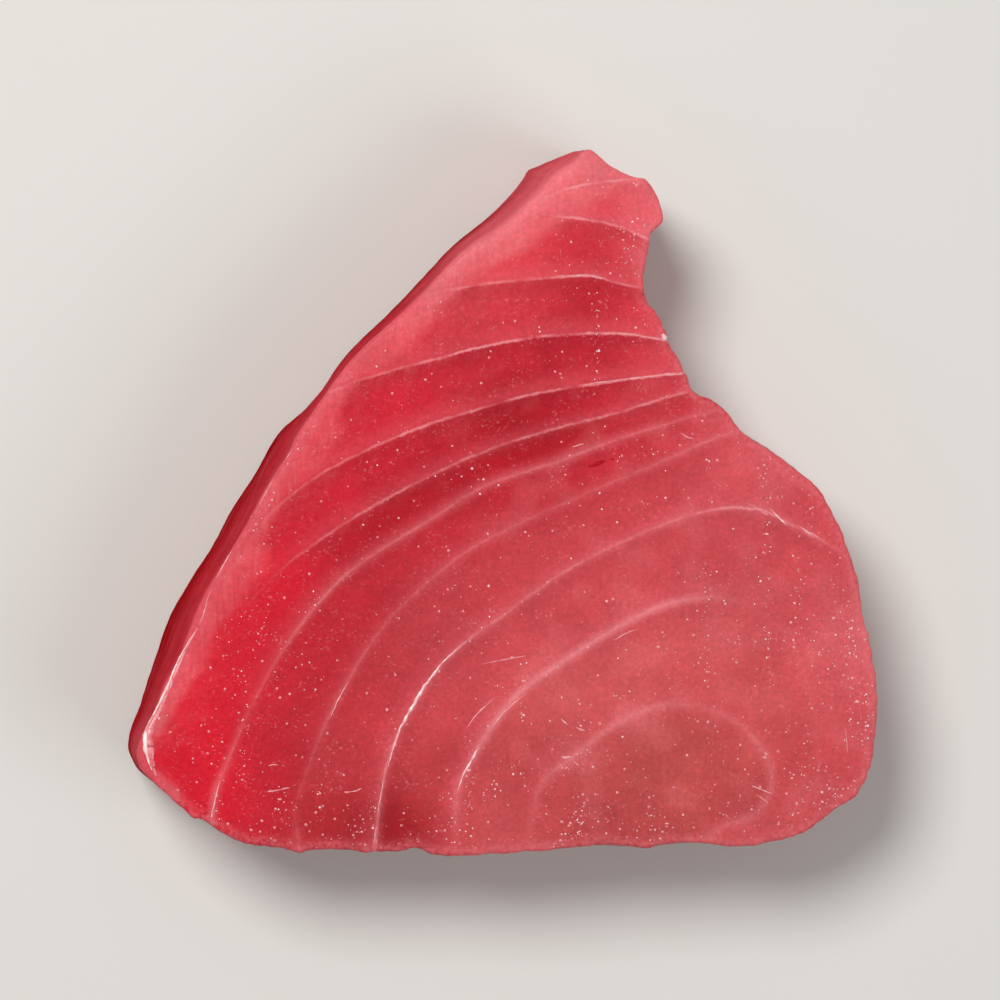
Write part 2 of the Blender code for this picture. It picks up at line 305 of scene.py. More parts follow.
class TunaDetailSettings(bpy.types.PropertyGroup):
    thread_radius: length_setting(
        "Thread radius", 0.16, "Half the thickness of the palest thread along a septum"
    )
    bead_radius: length_setting("Bead radius", 0.20, "Radius of the largest bead of moisture")
    bead_density: FloatProperty(
        name="Bead density",
        description="Beads of moisture on a square metre where they are thickest",
        default=4500000.0,
        min=0.0,
    )
    crumb_radius: length_setting(
        "Crumb radius", 0.26, "Radius of the largest crumb of flesh that the saw left"
    )
    crumb_density: FloatProperty(
        name="Crumb density",
        description="Crumbs on a square metre where they are thickest",
        default=1400000.0,
        min=0.0,
    )
    seed: IntProperty(name="Seed", description="Picks where beads and crumbs fall", default=7)


class TunaStageSettings(bpy.types.PropertyGroup):
    camera_height: length_setting(
        "Camera height", 600, "Height of the camera above the surface that the steak lies on"
    )
    floor_colour: colour_setting("Floor colour", "#dcdad7", "Plain pale surface under the steak")
    key_power: FloatProperty(
        name="Key power", description="Strength of the large soft light", default=10.85, unit="POWER"
    )


# Kinds of node that are named often
MATHS = "ShaderNodeMath"
RANGE = "ShaderNodeMapRange"
NOISE = "ShaderNodeTexNoise"
MAPPING = "ShaderNodeMapping"
MIX = "ShaderNodeMix"
ATTRIBUTE = "ShaderNodeAttribute"
VECTOR_MATHS = "ShaderNodeVectorMath"

# ---------------------------------------------------------------------------------------------------------
# Curves, fields and meshes


def smooth_curve(marks, spacing, closed=False):
    """Even points on a centripetal curve through the marks, with any further values carried along."""
    marks = np.array(marks, float)
    if closed:
        padded = np.vstack([marks[-1:], marks, marks[:2]])
    else:
        padded = np.vstack([2 * marks[0] - marks[1], marks, 2 * marks[-1] - marks[-2]])
    spans = []
    for four in zip(padded, padded[1:], padded[2:], padded[3:]):
        gaps = [math.sqrt(math.dist(a[:2], b[:2])) for a, b in zip(four, four[1:])]
        knots = np.cumsum([0.0] + gaps)
        steps = max(2, round(math.dist(four[1][:2], four[2][:2]) / spacing) * 2)
        at = np.linspace(knots[1], knots[2], steps, endpoint=False)[:, None]

        def blend(first, second, low, high):
            """Runs from the first at one knot to the second at the other."""
            return first * (high - at) / (high - low) + second * (at - low) / (high - low)

        outer = [blend(four[i], four[i + 1], knots[i], knots[i + 1]) for i in range(3)]
        inner = [blend(outer[i], outer[i + 1], knots[i], knots[i + 2]) for i in range(2)]
        spans.append(blend(inner[0], inner[1], knots[1], knots[2]))
    spans.append(marks[:1] if closed else marks[-1:])
    curve = np.vstack(spans)
    run = np.concatenate([[0.0], np.cumsum(np.hypot(*np.diff(curve[:, :2], axis=0).T))])
    count = max(3, round(run[-1] / spacing))
    even = np.linspace(0.0, run[-1], count + (not closed), endpoint=not closed)
    return np.column_stack([np.interp(even, run, column) for column in curve.T])


def nearest_on_curve(points, curve, closed=False):
    """Signed distance in plan to a curve, positive on its right, and the curve's third value there."""
    tree = KDTree(len(curve))
    for i, (x, y) in enumerate(curve[:, :2]):
        tree.insert((x, y, 0.0), i)
    tree.balance()
    nearest = np.array([tree.find((x, y, 0.0))[1] for x, y in points[:, :2]])
    last = len(curve) - 1
    best = np.full(len(points), np.inf)
    side = np.ones(len(points))
    value = np.zeros(len(points))
    for step in (-1, 0):
        first = nearest + step
        first = first % len(curve) if closed else np.clip(first, 0, last - 1)
        second = (first + 1) % len(curve)
        start, run = curve[first, :2], curve[second, :2] - curve[first, :2]
        away = points[:, :2] - start
        share = np.clip((away * run).sum(1) / (run * run).sum(1), 0.0, 1.0)
        gap = away - run * share[:, None]
        distance = np.hypot(gap[:, 0], gap[:, 1])
        closer = distance < best
        best = np.where(closer, distance, best)
        turn = run[:, 1] * away[:, 0] - run[:, 0] * away[:, 1]
        side = np.where(closer, np.where(turn >= 0, 1.0, -1.0), side)
        here = curve[first, 2] * (1 - share) + curve[second, 2] * share
        value = np.where(closer, here, value)
    return best * side, value


def noise_field(points, size, seed=0.0):
    """Smooth noise, about -1 to 1, at each point. `size` is its grain in mm, one number or one an axis."""
    return np.array([noise.noise(Vector(p)) for p in points / np.array(size) + seed])


def smoothstep(low, high, value):
    """0 at `low` and 1 at `high`, whichever is larger, eased between them."""
    share = np.clip((value - low) / (high - low), 0.0, 1.0)
    return share * share * (3 - 2 * share)


def bell(distance, reach):
    """1 at no distance, falling to about a third at the reach."""
    return np.exp(-((distance / reach) ** 2))


def mixed(first, second, share):
    """Each row of the first moved towards the second by its share."""
    return first * (1 - share[:, None]) + second * share[:, None]


def toward(tint, colour, share):
    """The tint at each point moved towards one colour, linear or in hex, by the share there."""
    return mixed(tint, np.array(linear(colour) if isinstance(colour, str) else colour), share)


def flake_field(plan, septa):
    """(flake, gap, paleness) at each point: a number that is whole on each septum, the width of the flake
    that the point is in, and how pale the nearest septum is there."""
    found = [nearest_on_curve(plan, septum) for septum in septa]
    signed = np.array([distance for distance, _ in found])
    paleness = np.array([value for _, value in found])
    passed = (signed > 0).sum(axis=0)
    before, after = np.maximum(passed - 1, 0), np.minimum(passed, len(septa) - 1)
    every = np.arange(len(plan))
    outer = np.where(passed == 0, OUTER_GAP, np.abs(signed[before, every]))
    inner = np.where(passed == len(septa), OUTER_GAP, np.abs(signed[after, every]))
    gap = outer + inner
    nearest = np.where(outer < inner, before, after)
    return passed + outer / gap, gap, np.clip(paleness[nearest, every], 0.0, None)


def staggered_grid(low, high, spacing):
    """Points in staggered rows over a box in plan."""
    row = spacing * math.sqrt(3) / 2
    columns = np.arange(low[0], high[0], spacing)
    rows = np.arange(low[1], high[1], row)
    x, y = np.meshgrid(columns, rows)
    x[1::2] += spacing / 2
    return np.column_stack([x.ravel(), y.ravel()])


def filled(ring, extra, edges=()):
    """Triangles, counterclockwise, that close a ring in plan through the extra points inside it."""
    flat = [Vector(point) for point in np.vstack([ring[:, :2], extra[:, :2]])]
    count = len(ring)
    bounds = [(i, (i + 1) % count) for i in range(count)]
    bounds += [(first + count, second + count) for first, second in edges]
    _, _, faces, sources, _, _ = delaunay_2d_cdt(flat, bounds, [], 1, 1e-7)
    return [[sources[corner][0] for corner in face] for face in faces]


def place(mesh, name):
    """A new object in the scene that shows the mesh."""
    obj = bpy.data.objects.new(name, mesh)
    bpy.context.scene.collection.objects.link(obj)
    return obj


def plain_mesh(obj, name):
    """The evaluated object as a plain mesh object of its own, with the made one removed."""
    bpy.context.view_layer.update()
    graph = bpy.context.evaluated_depsgraph_get()
    mesh = bpy.data.meshes.new_from_object(obj.evaluated_get(graph))
    bpy.data.objects.remove(obj, do_unlink=True)
    mesh.name = name
    return place(mesh, name)


def add_node(tree, kind, *values, out=0, inputs=(), **settings):
    """Adds a node with its settings and links, and gives one of its outputs, by number or name.

    Each value, a number, colour or another node's output, goes to its inputs in order. None leaves one as it
    is, and `inputs` holds more of them by name.
    """
    made = tree.nodes.new(kind)
    for name, value in settings.items():
        setattr(made, name, value)
    sockets = [socket for socket in made.inputs if socket.enabled]
    named = {socket.name: socket for socket in reversed(sockets)}
    given = [*zip(sockets, values), *[(named[name], value) for name, value in dict(inputs).items()]]
    for socket, value in given:
        if isinstance(value, bpy.types.NodeSocket):
            tree.links.new(value, socket)
        elif value is not None:
            socket.default_value = value
    results = [socket for socket in made.outputs if socket.enabled]
    return results[out] if isinstance(out, int) else next(socket for socket in results if socket.name == out)


# ---------------------------------------------------------------------------------------------------------
# The flesh's form

NOMINAL_THICKNESS = 24.0
EDGE_SAG = 0.6  # how far the upper face drops by the time it reaches its edge
EDGE_SAG_WIDTH = 9.0
SWELL_HEIGHT = 0.7  # shallow hills and hollows of the upper face
SWELL_SIZE = 26.0
SWELL_START = 2.7  # where in the noise they start
WALL_BELLY = 0.4  # how far the wall bulges at half height
WALL_WAVE = 0.4
WALL_WAVE_SIZE = 13.0
WALL_WAVE_CALM = 0.6  # by how much the trimmed side is flatter than the rest
FOOT_STEPS = 4
RIM_STEPS = 5
CONE_SLOPE = 0.006  # share by which the rings close in on the heart for each mm of depth
SKIN_LEANS = (0.1, 0.6)  # the leans between which the wall turns into the trimmed side
SEPTUM_CLEAR = 0.3  # how far from a septum its own two rows of points run
GRID_CLEAR = 1.7 * SEPTUM_CLEAR  # no other point of the face comes nearer to a septum
NORMAL_REACH = 3  # how many neighbours smooth the wall's outward direction

# The relief's layers: height, grain, along x, y and z where it differs, and where in the noise it starts.
SOFT_DENTS = ((0.10, 4.6, 0.0), (0.05, 1.7, 11.0))
FINE_GRAIN = ((0.035, 0.8, 23.0),)
WALL_FIBRES = ((0.10, (1.1, 1.1, 7.0), 5.0), (0.06, (0.6, 0.6, 3.2), 17.0))
KNIFE_WAVES = ((0.14, (9.0, 9.0, 2.6), 31.0),)
RIM_TEARS = ((1.0, (1.0, 1.0, 2.0), 41.0), (1.1, (3.1, 3.1, 6.0), 47.0))  # heights here are shares
GROOVE_REACH = 0.28
TEAR_REACH = 1.3
BROAD_FLAKE = 5.0  # a flake this wide swells in full
SOFT_SEPTUM_FLATTER = 0.8  # by how much a soft septum is flatter than a crisp one

# Patterns that wander over the flesh: the grain and where in the noise each starts.
SKIN_WANDER = (7.0, 3.0)
BAND_WANDER = (4.0, 3.0)
CLOUDS = (5.0, 91.0)
TAIL_WANDER = (5.0, 57.0)
BROAD_MOTTLE = (7.0, 81.0)
FINE_MOTTLE = (2.4, 83.0)
WET_PATCHES = (4.2, 61.0)
WET_CLUMPS = (1.4, 67.0)
CRUMB_PATCHES = (6.0, 71.0)

# Shades of the flesh. The first two are painted shade and painted light at the steps where one flake's edge
# stands above the next.
PAINTED_STEP_SHADE = "#6a0209"  # darkest, just inside a flake's outer septum
PAINTED_STEP_LIGHT = "#e4616c"  # just before its inner septum
SOFT_BAND = "#ea9096"  # along a soft septum
CLOUD_PINK = "#e0777c"
SKIN_EDGE = "#d5535e"
SKIN_EDGE_AT_TAIL = "#e06c74"
LOW_TRIMMED = "#c8535d"
SHADE_REACH = 3.6  # how far the dark and the pink reach into a flake, at most to its middle
CORNER_SHORTER = 2.4  # by how much less in the low corner by the skin

SAW_ROW_WIDTH = 0.35
DRIEST = 0.65  # how much less gathers in the middle and at the tail than low down and on the right


def face_height(plan, edge_distance):
    """Height of the upper face, which sags in the band along its edge."""
    swell = np.array([noise.noise((x / SWELL_SIZE, y / SWELL_SIZE, SWELL_START)) for x, y in plan[:, :2]])
    closeness = np.clip(1.0 - edge_distance / EDGE_SAG_WIDTH, 0.0, None)
    return NOMINAL_THICKNESS + SWELL_HEIGHT * swell - EDGE_SAG * closeness * closeness


def rounded_average(values, reach):
    """Each value of a closed ring averaged with `reach` neighbours on either side."""
    return sum(np.roll(values, step, axis=0) for step in range(-reach, reach + 1)) / (2 * reach + 1)


def wall_rings(outline, normal, skin, settings):
    """The wall's rings from the flat foot to the brim, as an array of levels x points x 3."""
    foot = settings.foot_radius / MM
    rim = settings.rim_radius / MM * (1 - skin) + settings.skin_rim_radius / MM * skin
    level = np.zeros(len(outline))
    top = face_height(outline, level)
    levels = []
    for angle in np.linspace(0, math.pi / 2, FOOT_STEPS, endpoint=False):
        levels.append((level + foot * (1 - math.sin(angle)), level + foot * (1 - math.cos(angle))))
    for share in np.linspace(0, 1, round(NOMINAL_THICKNESS / (settings.wall_spacing / MM))):
        levels.append((level, foot + share * (top - rim - foot)))
    for angle in np.linspace(0, math.pi / 2, RIM_STEPS)[1:]:
        levels.append((rim * (1 - math.cos(angle)), top - rim * (1 - math.sin(angle))))
    rings = []
    for inset, z in levels:
        height = z / top
        wave = noise_field(np.column_stack([outline[:, :2], z]), WALL_WAVE_SIZE)
        bulge = WALL_BELLY + WALL_WAVE * wave * (1 - WALL_WAVE_CALM * skin)
        inward = inset + outline[:, 2] * height - bulge * np.sin(math.pi * height)
        rings.append(np.column_stack([outline[:, :2] - normal * inward[:, None], z]))
    return np.array(rings)


def face_points(brim, septa, spacing):
    """The points inside the brim, with rows along each septum, and the edges that keep the septa sharp."""
    grid = staggered_grid(brim.min(axis=0), brim.max(axis=0), spacing)
    to_brim = np.column_stack([brim[:, :2], np.zeros(len(brim))])
    edge, _ = nearest_on_curve(grid, to_brim, closed=True)
    grid = grid[edge < -0.6 * spacing]
    clear = np.min([np.abs(nearest_on_curve(grid, septum)[0]) for septum in septa], axis=0)
    points = [grid[clear > GRID_CLEAR]]
    edges = []
    total = len(points[0])
    for septum in septa:
        along = np.gradient(septum[:, :2], axis=0)
        across = np.column_stack([along[:, 1], -along[:, 0]]) / np.hypot(*along.T)[:, None]
        for offset in (0.0, -SEPTUM_CLEAR, SEPTUM_CLEAR):
            row = septum[:, :2] + across * offset
            edge, _ = nearest_on_curve(row, to_brim, closed=True)
            kept = edge < -1.2 * spacing
            if offset:
                others = [other for other in septa if other is not septum]
                apart = np.min([np.abs(nearest_on_curve(row, other)[0]) for other in others], axis=0)
                kept &= apart > SEPTUM_CLEAR
            index = np.flatnonzero(kept)
            if not offset:
                joined = np.flatnonzero(np.diff(index) == 1) + total
                edges += [(i, i + 1) for i in joined.tolist()]
            points.append(row[index])
            total += len(index)
    return np.vstack(points), edges


def flake_tint(plan, flake):
    """The flesh's colour at each point, linear: its flake's own red, changed in the places that differ."""
    reds = np.array([linear(colour) for colour in FLAKE_REDS])
    own = np.clip(flake.astype(int), 0, len(reds) - 1)
    share = flake - own
    # Across a soft septum, nearer the heart, one flake's red runs into the next one's.
    soft = np.array((0.0, *SEPTUM_SOFTNESS, 0.0))
    running = 0.5 * smoothstep(-34.0, -8.0, plan[:, 0])
    tint = mixed(reds[own], reds[np.maximum(own - 1, 0)], running * soft[own] * smoothstep(0.5, 0.0, share))
    inner = reds[np.minimum(own + 1, len(reds) - 1)]
    tint = mixed(tint, inner, running * soft[own + 1] * smoothstep(0.5, 1.0, share))
    for x, y, reach, colour, strength in PATCHES:
        away = np.hypot(plan[:, 0] - x, plan[:, 1] - y)
        tint = toward(tint, colour, strength * bell(away, reach))
    return tint


def run_in_order(points):
    """A stretch cut from a closed ring, started after its widest gap, so that it runs end to end."""
    steps = np.linalg.norm(points - np.roll(points, 1, axis=0), axis=1)
    return np.roll(points, -int(np.argmax(steps)), axis=0)


class FleshForm:
    """The steak's closed surface in mm, with what the relief and the material need to know at each point."""

    def __init__(self, settings):
        face_spacing = settings.face_spacing / MM
        under_spacing = settings.under_spacing / MM
        outline = smooth_curve(OUTLINE, settings.wall_spacing / MM, closed=True)
        outline[:, 2] = np.clip(outline[:, 2], 0.0, None)
        along = rounded_average(np.roll(outline, -1, axis=0) - np.roll(outline, 1, axis=0), NORMAL_REACH)
        normal = np.column_stack([along[:, 1], -along[:, 0]]) / np.hypot(along[:, 0], along[:, 1])[:, None]
        skin = smoothstep(*SKIN_LEANS, outline[:, 2])
        rings = wall_rings(outline, normal, skin, settings)
        self.levels, self.around = rings.shape[:2]
        self.foot, self.brim = rings[0], rings[-1]
        self.septa = [smooth_curve(marks, face_spacing) for marks in SEPTA]

        face, edges = face_points(self.brim, self.septa, face_spacing)
        skin_brim = np.column_stack([self.brim[:, :2], skin])
        edge, face_skin = nearest_on_curve(face, skin_brim, closed=True)
        face = np.column_stack([face, face_height(face, -edge)])
        under = staggered_grid(self.foot.min(axis=0), self.foot.max(axis=0), under_spacing)
        under_edge, _ = nearest_on_curve(under, self.foot * (1, 1, 0), closed=True)
        kept = under_edge < -0.6 * under_spacing
        under, under_edge = under[kept], -under_edge[kept]
        under = np.column_stack([under, np.zeros(len(under))])
        self.points = np.vstack([rings.reshape(-1, 3), face, under])
        self.face_start = self.levels * self.around
        self.under_start = self.face_start + len(face)
        self.make_faces(edges)

        # What each point is: on the face or not, how deep under the rim, how far in from it, how much on the
        # trimmed side, how much beside the steak rather than under it, and how far from the trimmed edge.
        wall, below = np.zeros(self.face_start), np.zeros(len(under))
        self.is_face = np.concatenate([wall, np.ones(len(face)), below]) > 0
        top = np.tile(rings[-1, :, 2], self.levels)
        self.depth = np.concatenate([top - rings[:, :, 2].ravel(), 0 * edge, below + NOMINAL_THICKNESS])
        self.edge = np.concatenate([wall, -edge, below])
        self.skin = np.concatenate([np.tile(skin, self.levels), face_skin, below])
        self.beside = np.concatenate([wall + 1, 0 * edge, smoothstep(3.0, 0.0, under_edge)])
        skin_side = np.column_stack([outline[:, :2] - normal * outline[:, 2:3], 0 * skin])[skin > 0.3]
        self.from_skin = np.abs(nearest_on_curve(self.points, run_in_order(skin_side))[0])

        # The flakes are cones about the heart. Down the walls the faint septa show more, and less where the
        # skin was trimmed.
        heart = np.array(HEART)
        self.plan = heart + (self.points[:, :2] - heart) * (1 - CONE_SLOPE * self.depth)[:, None]
        self.flake, self.gap, self.paleness = flake_field(self.plan, self.septa)
        on_wall = smoothstep(1.0, 4.0, self.depth)
        self.paleness += 0.45 * on_wall * (self.paleness < 0.45) * (1 - self.skin)
        self.paleness *= 1 - 0.5 * on_wall * self.skin
        self.softness = self.by_septum(SEPTUM_SOFTNESS)

    def make_faces(self, edges):
        """Quads round the wall, then the upper face's and the underside's triangles."""
        lower = np.arange((self.levels - 1) * self.around).reshape(self.levels - 1, self.around)
        after = np.roll(lower, -1, axis=1)
        wall = np.stack([lower, after, after + self.around, lower + self.around], axis=-1)
        self.wall_faces = wall.reshape(-1, 4).tolist()

        def reindexed(triangles, ring_start, extra_start):
            """Numbers that count a ring and then the points inside it, as numbers of the whole surface."""
            shift = (ring_start, extra_start - self.around)
            return [[i + shift[i >= self.around] for i in triangle] for triangle in triangles]

        face = filled(self.brim, self.points[self.face_start : self.under_start], edges)
        self.top_faces = reindexed(face, self.face_start - self.around, self.face_start)
        under = filled(self.foot, self.points[self.under_start :])
        self.under_faces = [triangle[::-1] for triangle in reindexed(under, 0, self.under_start)]

    def trimmed_faces(self):
        """1 for each face of the trimmed wall below its rim, which the knife left matt, and 0 for others."""
        below_rim = np.arange(self.levels - 1) < self.levels - RIM_STEPS
        wall = np.outer(below_rim, self.skin[: self.around] > 0.5)
        others = len(self.top_faces) + len(self.under_faces)
        return np.concatenate([wall.ravel(), np.zeros(others)]).astype(int)

    def wander(self, pattern):
        """A wandering pattern, from about -1 to 1."""
        return noise_field(self.points, *pattern)

    def layered(self, layers):
        """The sum of the relief's layers."""
        return sum(height * self.wander(pattern) for height, *pattern in layers)

    def by_septum(self, table):
        """What the table says of the septum nearest to each point."""
        nearest = np.clip(np.round(self.flake).astype(int) - 1, 0, len(table) - 1)
        return np.array(table)[nearest]

    def relief(self, settings):
        """How far each point stands out of the smooth form, in mm."""
        share = self.flake % 1.0
        beside = np.minimum(share, 1 - share) * self.gap
        broad = np.clip(self.gap / BROAD_FLAKE, 0.0, 1.0)
        swell = settings.flake_swell / MM * (1 - (2 * share - 1) ** 2) * broad
        step = settings.flake_step / MM * (share - 0.5) * broad
        groove = settings.septum_groove / MM * bell(beside, GROOVE_REACH) * np.clip(self.paleness, 0.0, 1.0)
        out = swell + (step - groove) * (1 - SOFT_SEPTUM_FLATTER * self.softness)

        # The face is gently dented and finely grained. The walls show fibres and the knife's waves instead,
        # which are weaker on the trimmed side.
        onto_wall = smoothstep(0.4, 2.5, self.depth)
        soft = self.layered(SOFT_DENTS)
        fibres = self.layered(WALL_FIBRES) * (1 - 0.6 * self.skin)
        knife = self.layered(KNIFE_WAVES) * (1 - 0.7 * self.skin)
        out += (soft + self.layered(FINE_GRAIN)) * (1 - onto_wall) + (soft + fibres + knife) * onto_wall

        from_rim = np.where(self.is_face, self.edge, self.depth)
        near = bell(from_rim, TEAR_REACH) * (1 - 0.85 * self.skin)
        out += settings.rim_ragged / MM * self.layered(RIM_TEARS) * near
        return out * smoothstep(0.2, 2.2, self.points[:, 2])

    def tints(self, settings):
        """The flesh's colour at each point before the material's own fine detail, linear."""
        tint = flake_tint(self.plan, self.flake)
        tint = self.fresh_tint(tint, settings)
        tint = self.septum_tint(tint)
        tint = self.clouded_tint(tint)
        tint = self.skin_edge_tint(tint, settings)
        tint = self.wall_tint(tint, settings)
        # Muscle holds more or less blood from place to place.
        shade = 1 + 0.11 * self.wander(BROAD_MOTTLE) + 0.07 * self.wander(FINE_MOTTLE)
        tint[:, :3] *= shade[:, None]
        return np.clip(tint, 0.0, 1.0)

    def fresh_tint(self, tint, settings):
        """Bloodier along the trimmed skin, past the fourth septum, and most of all low down."""
        from_skin = self.from_skin + 1.2 * self.wander(SKIN_WANDER)
        fresh = smoothstep(19.0, 9.0, from_skin) * smoothstep(3.6, 4.4, self.flake)
        bloody = smoothstep(13.0, 8.0, from_skin) * smoothstep(-3.0, -11.0, self.points[:, 1])
        tint = toward(tint, settings.fresh_colour, 0.8 * fresh)
        return toward(tint, settings.bloody_colour, 0.8 * bloody)

    def septum_tint(self, tint):
        """Just inside its outer septum each flake is darkest, painted shade below the step from the flake
        before, and it lightens to pink before the next one, painted light on its raised edge.
        """
        x, y = self.points[:, 0], self.points[:, 1]
        outer = (self.flake % 1.0) * self.gap
        outer = np.where(outer < 0.12, self.gap, outer)
        inner = self.gap - outer
        by_corner = smoothstep(-26.0, -34.0, y) * smoothstep(-32.0, -38.0, x)
        reach = np.minimum(SHADE_REACH - CORNER_SHORTER * by_corner, 0.5 * self.gap)
        pale = smoothstep(0.0, 0.5, self.paleness)
        step_shade = 0.20 * pale * (1 - 0.7 * self.softness) * smoothstep(reach, 0.2, outer)
        tint = toward(tint, PAINTED_STEP_SHADE, step_shade)
        # Before each septum the pink is painted light. Towards the heart a soft septum is also paler on both
        # its sides.
        late = self.softness * smoothstep(-30.0, -8.0, self.plan[:, 0])
        lit_and_pale = 0.34 * smoothstep(reach, 0.0, inner)
        lit_and_pale += 0.22 * late * smoothstep(np.minimum(2.0, reach), 0.0, outer)
        much = self.by_septum(SEPTUM_GLOW)
        tint = toward(tint, PAINTED_STEP_LIGHT, pale * lit_and_pale * much)
        band = bell(np.minimum(outer, inner), 0.65) * smoothstep(0.0, 0.6, self.paleness)
        return toward(tint, SOFT_BAND, 0.5 * much * self.softness * band)

    def clouded_tint(self, tint):
        """Towards the heart the upper face clouds over in patches 5 mm across."""
        cloud = smoothstep(0.0, 0.5, self.wander(CLOUDS)) * smoothstep(-15.0, 5.0, self.plan[:, 0])
        cloud *= smoothstep(25.0, 10.0, self.plan[:, 1]) * self.is_face
        return toward(tint, CLOUD_PINK, 0.16 * cloud)

    def skin_edge_tint(self, tint, settings):
        """The band by the trimmed skin is palest at the very edge, and paler towards the tail."""
        y = self.points[:, 1]
        band, edge = np.array([settings.skin_band_colour, linear(SKIN_EDGE)])[:, None]
        band = toward(band, settings.tail_band_colour, smoothstep(14.0, 36.0, y))
        edge = toward(edge, SKIN_EDGE_AT_TAIL, smoothstep(27.0, 35.0, y))
        tint = mixed(tint, band, 0.8 * self.pale_band())
        return mixed(tint, edge, 0.85 * bell(self.from_skin, 1.6))

    def wall_tint(self, tint, settings):
        """The walls carry painted shade below the rim. The trimmed side carries more, a deep red with painted
        shadow at its foot, and is rosier at the tail.
        """
        # Painted shade: below the rim the walls are mixed towards a darker red.
        deep = np.array(settings.wall_shade_colour) * 0.6 + tint * 0.4
        tint = mixed(tint, deep, 0.95 * smoothstep(0.5, 5.0, self.depth) * (1 - self.skin**3) * self.beside)
        along = self.points[:, 1] + 2.5 * self.wander(TAIL_WANDER)
        at_tail = smoothstep(25.0, 43.0, along)
        # Painted shade of the trimmed side, lighter and rosier at the tail.
        trimmed = toward(np.array(settings.trimmed_shade_colour)[None], settings.trimmed_tail_shade_colour, at_tail)
        tint = mixed(tint, trimmed, 0.88 * smoothstep(0.1, 2.5 + 4.0 * at_tail, self.depth) * self.skin)
        # A rosier stretch under the rim at the low end
        low = smoothstep(-26.0, -34.0, along) * smoothstep(0.1, 1.5, self.depth)
        low *= smoothstep(14.0, 3.0, self.depth)
        tint = toward(tint, LOW_TRIMMED, 0.45 * low * self.skin**3)
        # Painted shadow, deepest towards the trimmed side's foot.
        foot = smoothstep(5.0 + 3.0 * at_tail, 20.0, self.depth) * (1 - 0.6 * smoothstep(40.0, 48.0, along))
        return toward(tint, settings.trimmed_foot_shadow_colour, 0.9 * foot * self.skin)

    def pale_band(self):
        """1 in the band along the trimmed skin, falling to 0 past it."""
        reach = np.interp(self.points[:, 1], *np.array(PALE_BAND).T)
        return smoothstep(1.25, 0.7, (self.from_skin + 0.5 * self.wander(BAND_WANDER)) / reach)

    def spots(self, places):
        """How much gathers round the given places, each x, y, reach and how much."""
        x, y = self.points[:, 0], self.points[:, 1]
        return sum(
            much * np.exp(-(((x - a) / reach) ** 2) - ((y - b) / reach) ** 2) for a, b, reach, much in places
        )

    def drier(self):
        """1 by the lower edge and the right flank, and less in the middle and at the tail."""
        x, y = self.points[:, 0], self.points[:, 1]
        return 1 - DRIEST * smoothstep(-22.0, -6.0, y) * smoothstep(44.0, 36.0, x)

    def crumbs(self):
        """Where crumbs of flesh lie, from 0 to 1: most along the rim and by the saw's own spots."""
        patches = smoothstep(0.0, 0.7, self.wander(CRUMB_PATCHES))
        near = bell(self.edge, 3.0) * (1 - self.skin)
        bare = (0.15 + 0.35 * patches) * self.drier()
        return np.clip(bare + 0.4 * near + self.spots(CRUMB_SPOTS), 0, 1) * self.is_face

    def wetness(self):
        """Where beads of moisture stand, from 0 to 1: in patches and rows, and few of them down the walls."""
        x, y = self.points[:, 0], self.points[:, 1]
        patches = smoothstep(-0.2, 0.7, self.wander(WET_PATCHES))
        clumps = smoothstep(-0.1, 0.5, self.wander(WET_CLUMPS))
        wet = (0.003 + 0.055 * patches * clumps) * self.drier() + self.spots(WET_SPOTS) * (0.2 + 0.8 * clumps)
        rows = sum(
            bell(x - at, SAW_ROW_WIDTH) * smoothstep(low - 1, low + 1, y) * smoothstep(high + 1, high - 1, y)
            for at, low, high in SAW_ROWS
        )
        ridge = bell(self.from_skin - 0.5, 0.7) * smoothstep(-14, -8, y) * smoothstep(16, 10, y)
        wet += 0.6 * rows + 0.9 * ridge * (0.3 + 0.7 * clumps)
        on_wall = (0.25 * smoothstep(5.0, 0.5, self.depth) + 0.02) * (1 - 0.9 * self.skin)
        return np.clip(wet * np.where(self.is_face, 1.0, on_wall), 0.0, 1.0) * (self.points[:, 2] > 1.0)


def set_attribute(mesh, name, values):
    """Keeps one number or one colour at each point."""
    if values.ndim == 1:
        mesh.attributes.new(name, "FLOAT", "POINT").data.foreach_set("value", values.astype(np.float32))
    else:
        colours = values.astype(np.float32).ravel()
        mesh.attributes.new(name, "FLOAT_COLOR", "POINT").data.foreach_set("color", colours)


PLACED = {}  # the plan's low corner and its scale in the frame, once the flesh is made


def fit_to_frame(points):
    """The low corner, in mm, and the scale that stretch the points' box to the CAD solid's."""
    low, high = points.min(axis=0), points.max(axis=0)
    return low, (CAD_HIGH - CAD_LOW) / (high - low)


def flesh_mesh(form, settings):
    """The flesh's mesh in metres, its relief raised along the smooth form's normals, in the CAD box."""
    mesh = bpy.data.meshes.new("tuna_flesh")
    faces = form.wall_faces + form.top_faces + form.under_faces
    mesh.from_pydata((form.points * MM).tolist(), [], faces)
    normals = np.empty(len(form.points) * 3, np.float32)
    mesh.vertices.foreach_get("normal", normals)
    raised = form.points + normals.reshape(-1, 3) * form.relief(settings)[:, None]
    low, scale = fit_to_frame(raised)
    fitted = (raised - low) * scale + CAD_LOW
    mesh.vertices.foreach_set("co", (fitted * MM).astype(np.float32).ravel())
    mesh.polygons.foreach_set("use_smooth", [True] * len(mesh.polygons))
    mesh.update()
    PLACED.update(low=low, scale=scale * MM)
    return mesh


